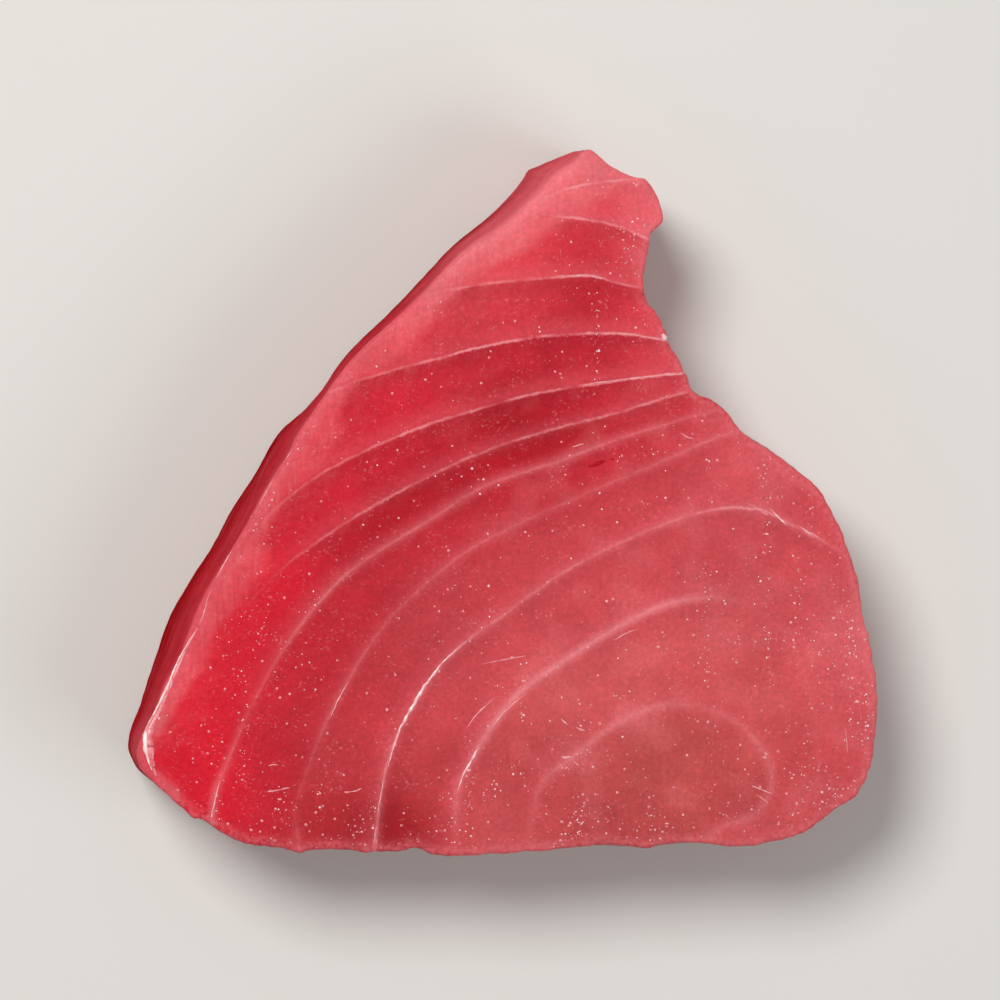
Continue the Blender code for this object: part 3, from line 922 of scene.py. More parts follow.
# Where the parts of the surface lie in the map, as shares of its side
MAP_MARGIN = 0.005
FACE_SHARE = (0.695, 0.655)
UNDER_SHARE, UNDER_CORNER = (0.275, 0.26), (0.715, 0.005)
WALL_STRIPS = 3
STRIP_LENGTH, STRIP_HEIGHT = 0.70, 0.1
STRIP_FOOT, STRIP_PITCH = 0.68, 0.107


def bake_map(mesh, form):
    """A UV map with the upper face, three lengths of the wall and the underside each in its own place."""
    rings = form.points[: form.face_start].reshape(form.levels, -1, 3)
    spans = np.linalg.norm(np.diff(rings, axis=0), axis=2)
    climb = np.concatenate([[0.0], np.cumsum(spans.mean(axis=1))])
    climb /= climb[-1]
    third = form.around // WALL_STRIPS
    columns = np.arange(form.around)
    strip = np.minimum(columns // third, WALL_STRIPS - 1)
    left = (columns - strip * third) / third * STRIP_LENGTH
    right = (columns + 1 - strip * third) / third * STRIP_LENGTH
    quads = []
    for foot, head in zip(climb, climb[1:]):
        low = STRIP_FOOT + strip * STRIP_PITCH + foot * STRIP_HEIGHT
        high = STRIP_FOOT + strip * STRIP_PITCH + head * STRIP_HEIGHT
        quads.append(np.stack([left, low, right, low, right, high, left, high], axis=1))
    wall = np.concatenate(quads).reshape(-1, 2) + (MAP_MARGIN, 0)

    low, high = form.points.min(axis=0), form.points.max(axis=0)
    flat = (form.points[:, :2] - low[:2]) / (high[:2] - low[:2])
    top = flat[np.array(form.top_faces).ravel()] * FACE_SHARE + MAP_MARGIN
    under = flat[np.array(form.under_faces).ravel()] * UNDER_SHARE + UNDER_CORNER
    layer = mesh.uv_layers.new(name="OFBake")
    layer.data.foreach_set("uv", np.concatenate([wall, top, under]).astype(np.float32).ravel())


# ---------------------------------------------------------------------------------------------------------
# Materials

MOST_NOISE = (0.3, 0.7)  # nearly all of a noise texture's values lie between these
# Light goes about a millimetre into raw flesh, red furthest.
SOFT_FLESH = {
    "Subsurface Weight": 0.15,
    "Subsurface Radius": (1.0, 0.25, 0.2),
    "Subsurface Scale": 1.0 * MM,
}
FLECK_PINK = "#e88f94"
LYING_PINK = "#f0a3a8"
# Pale torn fibres at the rim, which also paint light on the rounded rim so that it does not go dark.
TORN_PINK_AND_RIM_LIGHT = "#e0747b"
SILVER_SKIN = "#c4555f"
SIDE_SEPTUM = "#d9747c"
JUICE_IOR = 1.33


def new_material(name, sockets):
    """A material with some of its shader's own sockets set: (material, its tree, the shader's inputs)."""
    material = bpy.data.materials.new(name)
    material.use_nodes = True
    inputs = material.node_tree.nodes["Principled BSDF"].inputs
    for socket, value in sockets.items():
        inputs[socket].default_value = value
    return material, material.node_tree, inputs


def from_septum(node, flake, gap, ragged):
    """How far a point is from the nearest septum, in mm, moved to and fro by the septum's ragged sides."""
    share = node(MATHS, flake, 1.0, operation="FLOORED_MODULO")
    share = node(MATHS, share, node(MATHS, 1.0, share, operation="SUBTRACT"), operation="MINIMUM")
    return node(MATHS, share, gap, ragged, operation="MULTIPLY_ADD")


def flesh_material(settings):
    """Raw tuna loin, band sawn while half frozen: a wet, translucent red with flakes parted by pale tissue.

    It gives the eye the flesh's tint, which deepens and lightens from septum to septum in painted shade and
    light and holds painted shade down the walls, fine pale lines, a fine grain from the ends of the fibres,
    and a broken wet shine.
    """
    sockets = SOFT_FLESH | {"IOR": JUICE_IOR, "Specular IOR Level": 0.2}
    material, tree, shader = new_material("raw_tuna_flesh", sockets)
    node = partial(add_node, tree)
    spot = node("ShaderNodeTexCoord", out="Object")
    tint = node(ATTRIBUTE, out="Color", attribute_name="flesh_tint")
    flake, gap, line, lying, torn, wall = [
        node(ATTRIBUTE, out="Fac", attribute_name=name)
        for name in ("flake", "gap", "line", "lying", "torn", "wall")
    ]
    # Each has its grain in mm, its detail, and its stretch: the smaller along an axis, the longer the grain.
    fibres, scores, fine, fleck, fleck_patch, streak, waver, edge, broken, tear, wet = [
        node(
            NOISE,
            node(MAPPING, spot, inputs={"Scale": stretch}),
            inputs={"Scale": 1 / (size * MM), "Detail": detail},
        )
        for size, detail, stretch in (
            (0.7, 3.0, (1.0, 1.0, 0.12)),  # the ends of the fibres, cut lengthways down the walls
            (0.45, 1.0, (1.0, 0.05, 0.3)),  # upright scores that the saw's teeth left
            (0.4, 3.0, (1.0, 1.0, 1.0)),  # the finest fibres, drawn as coarse as they need to show
            (0.42, 2.0, (1.0, 1.0, 1.0)),  # flecks of tissue between bundles of fibres
            (3.0, 2.0, (1.0, 1.0, 1.0)),  # where those flecks gather
            (0.6, 1.5, (1.0, 0.12, 0.3)),  # fibres that lie along the face by the trimmed skin
            (2.2, 2.0, (1.0, 1.0, 1.0)),  # bundles of fibres that push a septum aside
            (0.6, 3.0, (1.0, 1.0, 1.0)),  # the ragged sides of a septum
            (3.2, 3.0, (1.0, 1.0, 1.0)),  # stretches where a septum is thinner
            (0.6, 3.0, (1.0, 1.0, 1.0)),  # fibres torn along the rim
            (1.6, 3.0, (1.0, 1.0, 1.0)),  # where juice lies on the flesh
        )
    ]
    shade = node(RANGE, fibres, *MOST_NOISE, 0.91, 1.10)
    shade = node(MATHS, shade, node(RANGE, scores, *MOST_NOISE, 0.985, 1.015), operation="MULTIPLY")
    shade = node(MATHS, shade, node(RANGE, fine, *MOST_NOISE, 0.95, 1.05), operation="MULTIPLY")
    colour = node(MIX, 1.0, tint, shade, data_type="RGBA", blend_type="MULTIPLY")
    fleck_share = node(RANGE, fleck, 0.58, 0.74, 0.0, node(RANGE, fleck_patch, 0.44, 0.68, 0.0, 0.5))
    colour = node(MIX, fleck_share, colour, linear(FLECK_PINK), data_type="RGBA")
    streak_share = node(RANGE, streak, 0.46, 0.64, 0.0, lying)
    colour = node(MIX, streak_share, colour, linear(LYING_PINK), data_type="RGBA")

    # A septum is a line 0.3 mm wide to each side, which wavers by 0.2 mm and is thinner in places.
    sway = node(MATHS, node(RANGE, waver, 0.0, 1.0, -0.2, 0.2), gap, operation="DIVIDE")
    ragged = node(RANGE, edge, 0.0, 1.0, -0.22, 0.22)
    beside = from_septum(node, node(MATHS, flake, sway, operation="ADD"), gap, ragged)
    strength = node(RANGE, broken, 0.30, 0.60, 0.0, line)
    crisp = node(RANGE, beside, 0.32, 0.02, 0.0, strength, interpolation_type="SMOOTHSTEP")
    colour = node(MIX, crisp, colour, settings.septum_colour, data_type="RGBA")
    # Torn fibres along the cut rim hold less blood and scatter more light, and the pink also paints light on
    # the rounded rim so that it does not go dark.
    torn_share = node(RANGE, tear, 0.30, 0.62, 0.0, torn)
    colour = node(MIX, torn_share, colour, linear(TORN_PINK_AND_RIM_LIGHT), data_type="RGBA")
    tree.links.new(colour, shader["Base Color"])

    # The face is wettest where juice lies, and the walls are duller.
    puddled = node(RANGE, wet, *MOST_NOISE, 0.28, 0.44)
    rough = node(MATHS, wall, 0.2, puddled, operation="MULTIPLY_ADD")
    tree.links.new(rough, shader["Roughness"])
    height = node(MATHS, fine, fibres, operation="ADD")
    bump = node("ShaderNodeBump", inputs={"Height": height, "Strength": 0.3, "Distance": 0.10 * MM})
    tree.links.new(bump, shader["Normal"])
    return material


def trimmed_material():
    """Tuna flesh from which the skin was pulled: smooth and matt, with smears of silver skin. Its deep red is
    painted shade, carried in the tint.

    It gives the eye a soft, even red with no shine, so that it stays deep where it is seen edge on.
    """
    sockets = SOFT_FLESH | {"Roughness": 0.6, "Specular IOR Level": 0.0}
    material, tree, shader = new_material("skinned_tuna_flesh", sockets)
    node = partial(add_node, tree)
    spot = node("ShaderNodeTexCoord", out="Object")
    tint = node(ATTRIBUTE, out="Color", attribute_name="flesh_tint")
    flake, gap, line = [node(ATTRIBUTE, out="Fac", attribute_name=name) for name in ("flake", "gap", "line")]
    # Fibres 1.1 mm thick that run 9 mm down the side, and smears of silver skin 2.4 mm high and 12 mm long.
    fibres, smears = [
        node(
            NOISE,
            node(MAPPING, spot, inputs={"Scale": stretch}),
            inputs={"Scale": 1 / (size * MM), "Detail": 3.0},
        )
        for size, stretch in ((1.1, (1.0, 1.0, 0.12)), (2.4, (0.2, 0.2, 1.0)))
    ]
    shade = node(RANGE, fibres, *MOST_NOISE, 0.93, 1.07)
    colour = node(MIX, 1.0, tint, shade, data_type="RGBA", blend_type="MULTIPLY")
    smeared = node(RANGE, smears, 0.45, 0.8, 0.0, 0.3)
    colour = node(MIX, smeared, colour, linear(SILVER_SKIN), data_type="RGBA")
    # The septa come out at the side as faint lines, 0.5 mm wide to each side and ragged.
    beside = from_septum(node, flake, gap, node(RANGE, fibres, 0.0, 1.0, -0.5, 0.5))
    strength = node(MATHS, line, 0.8, operation="MULTIPLY")
    faint = node(RANGE, beside, 0.5, 0.05, 0.0, strength, interpolation_type="SMOOTHSTEP")
    colour = node(MIX, faint, colour, linear(SIDE_SEPTUM), data_type="RGBA")
    tree.links.new(colour, shader["Base Color"])
    bump = node("ShaderNodeBump", inputs={"Height": fibres, "Strength": 0.25, "Distance": 0.10 * MM})
    tree.links.new(bump, shader["Normal"])
    return material


def wet_material(name, colour, deep, spread, sockets):
    """A small wet thing, whose colour wanders to a deeper one and back every `spread` mm."""
    material, tree, shader = new_material(name, sockets | {"Coat Roughness": 0.06})
    node = partial(add_node, tree)
    spot = node("ShaderNodeTexCoord", out="Object")
    patch = node(NOISE, spot, inputs={"Scale": 1 / (spread * MM), "Detail": 2.0})
    share = node(RANGE, patch, 0.35, 0.65)
    tree.links.new(node(MIX, share, linear(colour), linear(deep), data_type="RGBA"), shader["Base Color"])
    return material


def floor_material(colour):
    """Matt painted board: a plain, pale, even surface."""
    material, _, _ = new_material("matt_board", {"Base Color": colour, "Roughness": 0.9})
    return material


# ---------------------------------------------------------------------------------------------------------
# The flesh


def finish_piece(obj):
    """Every piece is part of the one steak, so it rides with the root and stands for the CAD solid."""
    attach(obj, BODY)
    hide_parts(NODE)


class TUNA_OT_flesh(bpy.types.Operator):
    """The steak's flesh, closed all round, with its relief and the values that its material reads"""

    bl_idname = "tuna.flesh"
    bl_label = "Tuna flesh"

    def execute(self, context):
        settings = context.scene.tuna_flesh
        form = FleshForm(settings)
        mesh = flesh_mesh(form, settings)
        bake_map(mesh, form)
        # Pale torn fibres along the cut rim, which also paint light on the rounded rim.
        rim_tears_and_light = np.exp(-((form.depth / 1.0) ** 2) - (form.edge / 0.8) ** 2) * (1 - form.skin)
        for name, values in (
            ("flesh_tint", form.tints(settings)),
            ("flake", form.flake),
            ("gap", form.gap),
            ("line", 0.9 * np.clip(form.paleness, 0, 1.2) * (1 - 0.8 * form.softness)),
            ("lying", 0.07 * form.pale_band() * form.is_face),
            ("torn", 0.5 * rim_tears_and_light),
            ("wall", smoothstep(0.3, 3.0, form.depth)),
            ("wetness", form.wetness()),
            ("crumbs", form.crumbs()),
        ):
            set_attribute(mesh, name, values)
        mesh.materials.append(flesh_material(settings))
        mesh.materials.append(trimmed_material())
        mesh.polygons.foreach_set("material_index", form.trimmed_faces())
        finish_piece(place(mesh, "tuna_flesh"))
        return {"FINISHED"}


# ---------------------------------------------------------------------------------------------------------
# Small things that repeat, or follow the flesh, by Geometry Nodes

BALL_SEGMENTS, BALL_RINGS = 6, 4  # few faces, because there are hundreds of each
SMALLEST = 0.28  # the smallest of them, as a share of the largest
RARITY = 2.6  # the higher, the fewer are large
RAGGED_GRAIN = 0.25
THREAD_STEP = 0.22
THREAD_SIDES = 8
SWAY_GRAIN, UNEVEN_GRAIN = 0.9, 0.8
CENTRED = (0.5, 0.5, 0.5)  # taken off a noise colour, this leaves a push that goes every way
DROP_LENGTH = 0.05  # metres that a strand's point may fall onto the flesh


def new_tree(name, inputs):
    """A Geometry Nodes tree with the named inputs after its geometry: (tree, its inputs, its output node)."""
    tree = bpy.data.node_groups.new(name, "GeometryNodeTree")
    tree.interface.new_socket("Geometry", in_out="INPUT", socket_type="NodeSocketGeometry")
    for label, kind in inputs.items():
        tree.interface.new_socket(label, in_out="INPUT", socket_type=f"NodeSocket{kind}")
    tree.interface.new_socket("Geometry", in_out="OUTPUT", socket_type="NodeSocketGeometry")
    return tree, tree.nodes.new("NodeGroupInput").outputs, tree.nodes.new("NodeGroupOutput")


def finish_tree(tree, given, ending, geometry):
    """Ends a tree: realised, shaded smooth, and in the given material."""
    real = add_node(tree, "GeometryNodeRealizeInstances", geometry)
    smooth = add_node(tree, "GeometryNodeSetShadeSmooth", real)
    painted = add_node(tree, "GeometryNodeSetMaterial", smooth, inputs={"Material": given["Material"]})
    tree.links.new(painted, ending.inputs[0])


def grown(source, tree, values, name):
    """What the tree makes of the source object, as a plain mesh object that rides with the steak."""
    modifier = source.modifiers.new(tree.name, "NODES")
    modifier.node_group = tree
    for item in tree.interface.items_tree:
        if item.in_out == "INPUT" and item.name in values:
            modifier[item.identifier] = values[item.name]
    finish_piece(plain_mesh(source, name))


def scatter_tree(name, squash):
    """Domes or crumbs scattered over the flesh where its attribute says, each turned to the surface."""
    inputs = {"Where": "String", "Density": "Float", "Radius": "Float", "Sink": "Float", "Ragged": "Float"}
    inputs |= {"Seed": "Int", "Material": "Material"}
    tree, given, ending = new_tree(name, inputs)
    node = partial(add_node, tree)
    where = node("GeometryNodeInputNamedAttribute", given["Where"], data_type="FLOAT")
    density = node(MATHS, where, given["Density"], operation="MULTIPLY")
    spread = "GeometryNodeDistributePointsOnFaces"
    points = node(spread, given["Geometry"], inputs={"Density": density, "Seed": given["Seed"]})
    normal, rotation = points.node.outputs["Normal"], points.node.outputs["Rotation"]
    down = node(MATHS, given["Sink"], -1.0, operation="MULTIPLY")
    drop = node(VECTOR_MATHS, normal, inputs={"Scale": down}, operation="SCALE")
    sunk = node("GeometryNodeSetPosition", points, inputs={"Offset": drop})
    ball = node("GeometryNodeMeshUVSphere", BALL_SEGMENTS, BALL_RINGS, 1.0)
    # Most are small, and a few are as large as the radius says.
    chance = node("FunctionNodeRandomValue", inputs={"Seed": given["Seed"]}, data_type="FLOAT")
    rare = node(MATHS, chance, RARITY, operation="POWER")
    size = node(MATHS, rare, 1 - SMALLEST, SMALLEST, operation="MULTIPLY_ADD")
    size = node(MATHS, size, given["Radius"], operation="MULTIPLY")
    low, high = (0.8, 0.8, squash * 0.8), (1.25, 1.25, squash * 1.2)
    shape = node("FunctionNodeRandomValue", low, high, inputs={"Seed": 3}, data_type="FLOAT_VECTOR")
    scale = node(VECTOR_MATHS, shape, inputs={"Scale": size}, operation="SCALE")
    turned = {"Instance": ball, "Rotation": rotation, "Scale": scale}
    copies = node("GeometryNodeInstanceOnPoints", sunk, inputs=turned)
    real = node("GeometryNodeRealizeInstances", copies)
    bumpy = node(NOISE, inputs={"Scale": 1 / (RAGGED_GRAIN * MM), "Detail": 1.0}, out="Color")
    push = node(VECTOR_MATHS, bumpy, CENTRED, operation="SUBTRACT")
    push = node(VECTOR_MATHS, push, inputs={"Scale": given["Ragged"]}, operation="SCALE")
    finish_tree(tree, given, ending, node("GeometryNodeSetPosition", real, inputs={"Offset": push}))
    return tree


def scatter(name, squash, where, values):
    """Grows one kind of small thing over a copy of the flesh, where its attribute says."""
    carrier = place(bpy.data.objects["tuna_flesh"].data.copy(), "carrier")
    grown(carrier, scatter_tree(name, squash), values | {"Where": where}, name)


class TUNA_OT_beads(bpy.types.Operator):
    """Beads of moisture standing on the cut flesh"""

    bl_idname = "tuna.beads"
    bl_label = "Moisture beads"

    def execute(self, context):
        settings = context.scene.tuna_detail
        # Beads of thawed juice: they give the eye bright points, each with a sharp highlight. Their
        # near-white colour is a painted glint, where clear juice would show the flesh's red.
        shine = {"Roughness": 0.12, "Coat Weight": 0.7}
        values = {
            "Density": settings.bead_density,
            "Radius": settings.bead_radius,
            "Sink": 0.0,
            "Ragged": 0.0,
            "Seed": settings.seed,
            "Material": wet_material("juice_with_painted_glint", "#ffe2e2", "#d9747b", 1.1, shine),
        }
        scatter("moisture_beads", 0.7, "wetness", values)
        return {"FINISHED"}


class TUNA_OT_crumbs(bpy.types.Operator):
    """Crumbs of flesh that the saw left on the cut face"""

    bl_idname = "tuna.crumbs"
    bl_label = "Flesh crumbs"

    def execute(self, context):
        settings = context.scene.tuna_detail
        # Crumbs of raw flesh, washed pale: they give the eye a fine pink stubble.
        shine = {"Roughness": 0.4, "Coat Weight": 0.2}
        values = {
            "Density": settings.crumb_density,
            "Radius": settings.crumb_radius,
            "Sink": 0.05 * MM,
            "Ragged": 0.16 * MM,
            "Seed": settings.seed + 11,
            "Material": wet_material("washed_flesh_crumb", "#efa3a7", "#d6606a", 1.5, shine),
        }
        scatter("flesh_crumbs", 0.5, "crumbs", values)
        return {"FINISHED"}


def thread_tree():
    """A strand laid along a curve on the flesh, thick where the curve's own radius says, and uneven."""
    inputs = {"Flesh": "Object", "Thickness": "Float", "Thinnest": "Float", "Waver": "Float"}
    inputs |= {"Sunk share": "Float", "Material": "Material"}
    tree, given, ending = new_tree("tissue_threads", inputs)
    node = partial(add_node, tree)
    flesh = node("GeometryNodeObjectInfo", given["Flesh"], out="Geometry")
    step = {"Length": THREAD_STEP * MM}
    even = node("GeometryNodeResampleCurve", given["Geometry"], inputs=step, mode="LENGTH")
    # Each point falls straight down onto the flesh.
    start = node("GeometryNodeInputPosition")
    ray = {"Source Position": start, "Ray Direction": (0.0, 0.0, -1.0), "Ray Length": DROP_LENGTH}
    hit = node("GeometryNodeRaycast", flesh, inputs=ray, out="Hit Position")
    # It sways mostly sideways.
    sway = node(NOISE, inputs={"Scale": 1 / (SWAY_GRAIN * MM), "Detail": 2.0}, out="Color")
    sway = node(VECTOR_MATHS, sway, CENTRED, operation="SUBTRACT")
    sway = node(VECTOR_MATHS, sway, (1.0, 1.0, 0.1), operation="MULTIPLY")
    sway = node(VECTOR_MATHS, sway, inputs={"Scale": given["Waver"]}, operation="SCALE")
    uneven = node(NOISE, inputs={"Scale": 1 / (UNEVEN_GRAIN * MM), "Detail": 2.0})
    width = node(RANGE, uneven, *MOST_NOISE, given["Thinnest"], 1.25)
    width = node(MATHS, node("GeometryNodeInputRadius"), width, operation="MULTIPLY")
    # The strand lies in the flesh by a share of its own thickness.
    depth = node(MATHS, width, given["Thickness"], operation="MULTIPLY")
    depth = node(MATHS, depth, given["Sunk share"], operation="MULTIPLY")
    drop = node("ShaderNodeCombineXYZ", inputs={"Z": node(MATHS, depth, -1.0, operation="MULTIPLY")})
    radius = node("GeometryNodeSetCurveRadius", even, inputs={"Radius": width})
    shift = node(VECTOR_MATHS, sway, drop, operation="ADD")
    laid = node("GeometryNodeSetPosition", radius, inputs={"Position": hit, "Offset": shift})
    profile = {"Resolution": THREAD_SIDES, "Radius": given["Thickness"]}
    ring = node("GeometryNodeCurvePrimitiveCircle", inputs=profile)
    swept = {"Profile Curve": ring, "Scale": node("GeometryNodeInputRadius"), "Fill Caps": True}
    finish_tree(tree, given, ending, node("GeometryNodeCurveToMesh", laid, inputs=swept))
    return tree


# Stretches where tissue stands out whitest, each as x, y and its thickness as a share of the thread's.
SEPTUM_STRANDS = (
    ((-17, -38, 0.3), (-16.3, -35.4, 1), (-15.2, -32.4, 1.7), (-13.6, -29.5, 2.1), (-11.6, -26.3, 1.7),
     (-9.4, -23.4, 0.9), (-7.6, -21.6, 0.4), (-5.6, -20, 0.1)),
    ((-7, -41.6, 0.2), (-6.1, -39, 1.1), (-5.2, -37.6, 1.5), (-4.5, -36.4, 1.4), (-4, -35.3, 0.2)),
    ((38.3, -0.9, 0.1), (39.3, -1.9, 0.7), (40.2, -2.9, 0.9), (41, -3.5, 0.2)),
    ((42.8, -3.7, 0.1), (43.6, -4.2, 0.8), (44.6, -4.7, 0.9), (45.7, -5.3, 0.2)),
    ((-25.4, -31, 0.1), (-24.6, -29.2, 0.6), (-23.8, -27.6, 0.5), (-22.8, -25.8, 0.1)),
    ((-18.7, -45.6, 0.1), (-18.4, -43.6, 0.4), (-18, -41.6, 0.5), (-17.8, -40, 0.1)),
    ((-19.2, -49.8, 0.2), (-19, -48.4, 0.45), (-18.8, -46.9, 0.4), (-18.7, -46.2, 0.1)),
    ((-42.5, -45.3, 0.6), (-42.1, -43.6, 0.8), (-41.6, -41.4, 0.5), (-41.2, -40, 0.1)),
    ((11, 16.9, 0.1), (13.2, 17.2, 0.5), (15.6, 17.5, 0.4), (19.4, 18, 0.3), (22.4, 18.3, 0.4),
     (25.6, 18.5, 0.3)),
    ((16, 24.3, 0.1), (19, 24.1, 0.35), (22.4, 23.5, 0.4)),
    ((9, 32.6, 0.1), (11.2, 32.7, 0.35), (13, 32.4, 0.3), (14, 32.2, 0.1)),
)
# Fainter, pinker shreds of tissue in the same form.
FAINT_STRANDS = (
    ((-5.6, -32.4, 0.2), (-4.2, -30.6, 0.8), (-2.6, -29.1, 0.7), (-1.8, -28.2, 0.1)),
    ((-1.9, -32.4, 0.3), (-0.6, -30.7, 0.7), (1.2, -29, 0.5), (3, -27.6, 0.1)),
    ((-3.6, -23.4, 0.1), (-1.2, -22.9, 0.5), (1, -22.5, 0.6), (2.8, -22.2, 0.2)),
    ((34.9, -0.2, 0.1), (36.3, -0.8, 0.6), (37.6, -1.7, 0.5), (38.2, -2, 0.1)),
    ((-34.3, -41.6, 0.5), (-33.2, -41.4, 1), (-32.4, -41.2, 0.3), (-31.9, -41.1, 1.1), (-31.2, -41, 0.3)),
    ((-34.2, -37.8, 0.4), (-33.6, -37.7, 0.8), (-32.9, -37.7, 0.3)),
    ((-23.4, -41.7, 0.4), (-22.9, -41.7, 0.9), (-22.3, -41.6, 0.3), (-21.6, -41.5, 0.9),
     (-20.9, -41.1, 0.4)),
    ((35.8, -41.2, 0.3), (36.8, -41.6, 0.9), (38, -42.1, 0.7), (38.8, -42.4, 0.2)),
    ((36.4, -42.5, 0.2), (37.4, -43.1, 0.6), (38.2, -43.7, 0.2)),
    ((49.9, -36.6, 0.2), (49.7, -34.4, 0.5), (49.5, -33, 0.2)),
    ((10.2, -32.5, 0.3), (10.8, -32.9, 1.2), (11.5, -33, 0.3)),
    ((8, -31.2, 0.3), (8.4, -31.7, 1.1), (8.9, -32.1, 0.3)),
    ((8, -36.7, 0.4), (8.6, -36.9, 1.4), (9.4, -36.8, 0.4)),
    ((9.8, -37.4, 0.3), (10.2, -37.8, 1.1), (10.5, -38.1, 0.3)),
    ((15.6, -20, 0.2), (17.4, -19, 0.5), (19.2, -18.3, 0.2)),
    ((25.5, 9.9, 0.2), (26.2, 9.4, 0.9), (27.2, 9.1, 0.3)),
    ((9.6, 8, 0.2), (10.4, 8.2, 0.9), (11.2, 8.4, 0.3)),
    ((-44.3, -17.9, 0.1), (-43.4, -15.6, 0.7), (-43, -14, 0.4), (-42.6, -12.8, 0.1)),
    ((-42, -11.4, 0.1), (-41.1, -9.8, 0.7), (-40.3, -8.4, 0.6), (-39.2, -6.5, 0.2)),
    ((-36.1, -1.6, 0.1), (-34.9, 0.8, 0.6), (-34.1, 2.2, 0.5), (-33.4, 3.4, 0.1)),
    ((-32.6, 4.7, 0.1), (-31.6, 6.3, 0.5), (-30.6, 7.8, 0.1)),
)
# The white rib of fascia along the trimmed edge, thickest at its low end. Its white is both real fascia and a
# painted highlight along the ridge.
EDGE_FASCIA_AND_GLINT = (
    ((-51, -38.4, 0.4), (-51.5, -36.9, 1.2), (-51.85, -35.3, 2.3), (-51.9, -33.8, 2.7),
     (-51.5, -32.2, 1.8), (-50.6, -30.4, 1.2), (-49.5, -28, 1.05), (-48.6, -26.1, 1.05),
     (-47.8, -24.1, 0.95), (-46.9, -22.2, 0.7), (-45.8, -20.2, 0.4), (-44.9, -18.7, 0.15)),
)
# The softer, pinker tissue under its low end, which also paints the soft pink edge of that highlight.
FASCIA_ROOT_AND_GLINT_EDGE = (
    ((-50.4, -39.2, 0.6), (-51, -37, 2.4), (-51.3, -35, 3.2), (-51.3, -33.4, 3), (-50.9, -31.9, 1.9),
     (-49.9, -30, 1.3), (-49, -27.8, 1.1), (-48.1, -25.8, 1.1), (-47.1, -23.4, 0.9), (-45.8, -20.6, 0.6),
     (-44.4, -18, 0.3)),
)
# The small white fleck where the fourth septum meets the neck's rim.
FAT_FLECK = (
    ((22.8, 24.3, 1.8), (22.95, 24, 2.5), (23.05, 23.7, 2.6), (23.2, 23.3, 2)),
)
# Two short streaks of clotted blood, end to end.
BLOOD_STREAKS = (
    ((11.8, 5.1, 0.4), (12.4, 5.25, 1.2), (13.2, 5.5, 1.5), (13.9, 5.8, 1.1), (14.4, 5.9, 0.4)),
    ((15.1, 6.05, 0.3), (15.4, 6.15, 0.8), (15.7, 6.15, 0.3)),
)
STRAND_SPACING = 0.25
STRAND_THINNEST = 0.02
STRAND_LIFT = 0.01  # metres above the CAD solid, from which a strand's points fall onto the flesh


def plan_place(x, y):
    """A place in the outline's own millimetres, as metres in the frame."""
    low, scale = PLACED["low"], PLACED["scale"]
    return (x - low[0]) * scale[0] + CAD_LOW[0] * MM, (y - low[1]) * scale[1] + CAD_LOW[1] * MM


def strand_curves(strands):
    """One curve object of open splines above the flesh, with each point's thickness as its radius."""
    curves = bpy.data.curves.new("strands", "CURVE")
    curves.dimensions = "3D"
    for marks in strands:
        path = smooth_curve(marks, STRAND_SPACING)
        spline = curves.splines.new("POLY")
        spline.points.add(len(path) - 1)
        for point, (x, y, thickness) in zip(spline.points, path):
            point.co = (*plan_place(x, y), THICKNESS * MM + STRAND_LIFT, 1.0)
            point.radius = max(thickness, STRAND_THINNEST)
    return place(curves, "strands")


class TUNA_OT_strands(bpy.types.Operator):
    """Threads of pale tissue along the septa and the trimmed edge, a fleck of fat and two streaks of blood"""

    bl_idname = "tuna.strands"
    bl_label = "Tissue strands"

    def execute(self, context):
        settings = context.scene.tuna_detail
        tree = thread_tree()
        # Collagen, wet and nearly white, which gives the eye a bright broken thread.
        shine = {"Roughness": 0.22, "Coat Weight": 0.8}
        tissue = wet_material("wet_collagen", "#fbd3d5", "#f09aa0", 1.5, shine)
        # Thinner collagen, which lets the flesh's red through.
        shine = {"Roughness": 0.4, "Coat Weight": 0.1}
        faint = wet_material("thin_collagen", "#f0aeb2", "#e27e86", 0.9, shine)
        # Fascia and fat, whiter, with a soft wet shine. Along the ridge the fascia's white is also a painted
        # highlight.
        shine = {"Roughness": 0.25, "Coat Weight": 0.8}
        fascia = wet_material("white_fascia_fat_and_glint", "#fff0ee", "#f9c6c8", 1.6, shine)
        # Fascia with flesh still on it, a soft pink, which also paints the soft edge of the ridge's
        # highlight.
        shine = {"Roughness": 0.35, "Coat Weight": 0.3}
        root = wet_material("pink_fascia_and_glint_edge", "#ee9aa0", "#e0636e", 1.5, shine)
        # Clotted blood, a darker and browner red than the flesh, with no shine of its own.
        shine = {"Roughness": 0.8, "Coat Weight": 0.0, "Specular IOR Level": 0.1}
        blood = wet_material("clotted_blood", "#a80e1b", "#b81825", 1.5, shine)
        for strands, name, material, thickness, thinnest, waver, sunk_share in (
            (SEPTUM_STRANDS, "septum_threads", tissue, 1.0, 0.35, 0.35, 0.5),
            (FAINT_STRANDS, "thin_threads", faint, 1.1, 0.4, 0.25, 0.5),
            (EDGE_FASCIA_AND_GLINT, "edge_fascia", fascia, 1.1, 0.6, 0.15, 0.35),
            (FASCIA_ROOT_AND_GLINT_EDGE, "fascia_root", root, 2.0, 0.85, 0.1, 0.72),
            (FAT_FLECK, "fat_fleck", fascia, 1.0, 0.6, 0.1, 0.4),
            (BLOOD_STREAKS, "blood_streaks", blood, 1.8, 0.6, 0.2, 0.6),
        ):
            values = {
                "Flesh": bpy.data.objects["tuna_flesh"],
                "Thickness": settings.thread_radius * thickness,
                "Thinnest": thinnest,
                "Waver": waver * MM,
                "Sunk share": sunk_share,
                "Material": material,
            }
            grown(strand_curves(strands), tree, values, name)
        return {"FINISHED"}


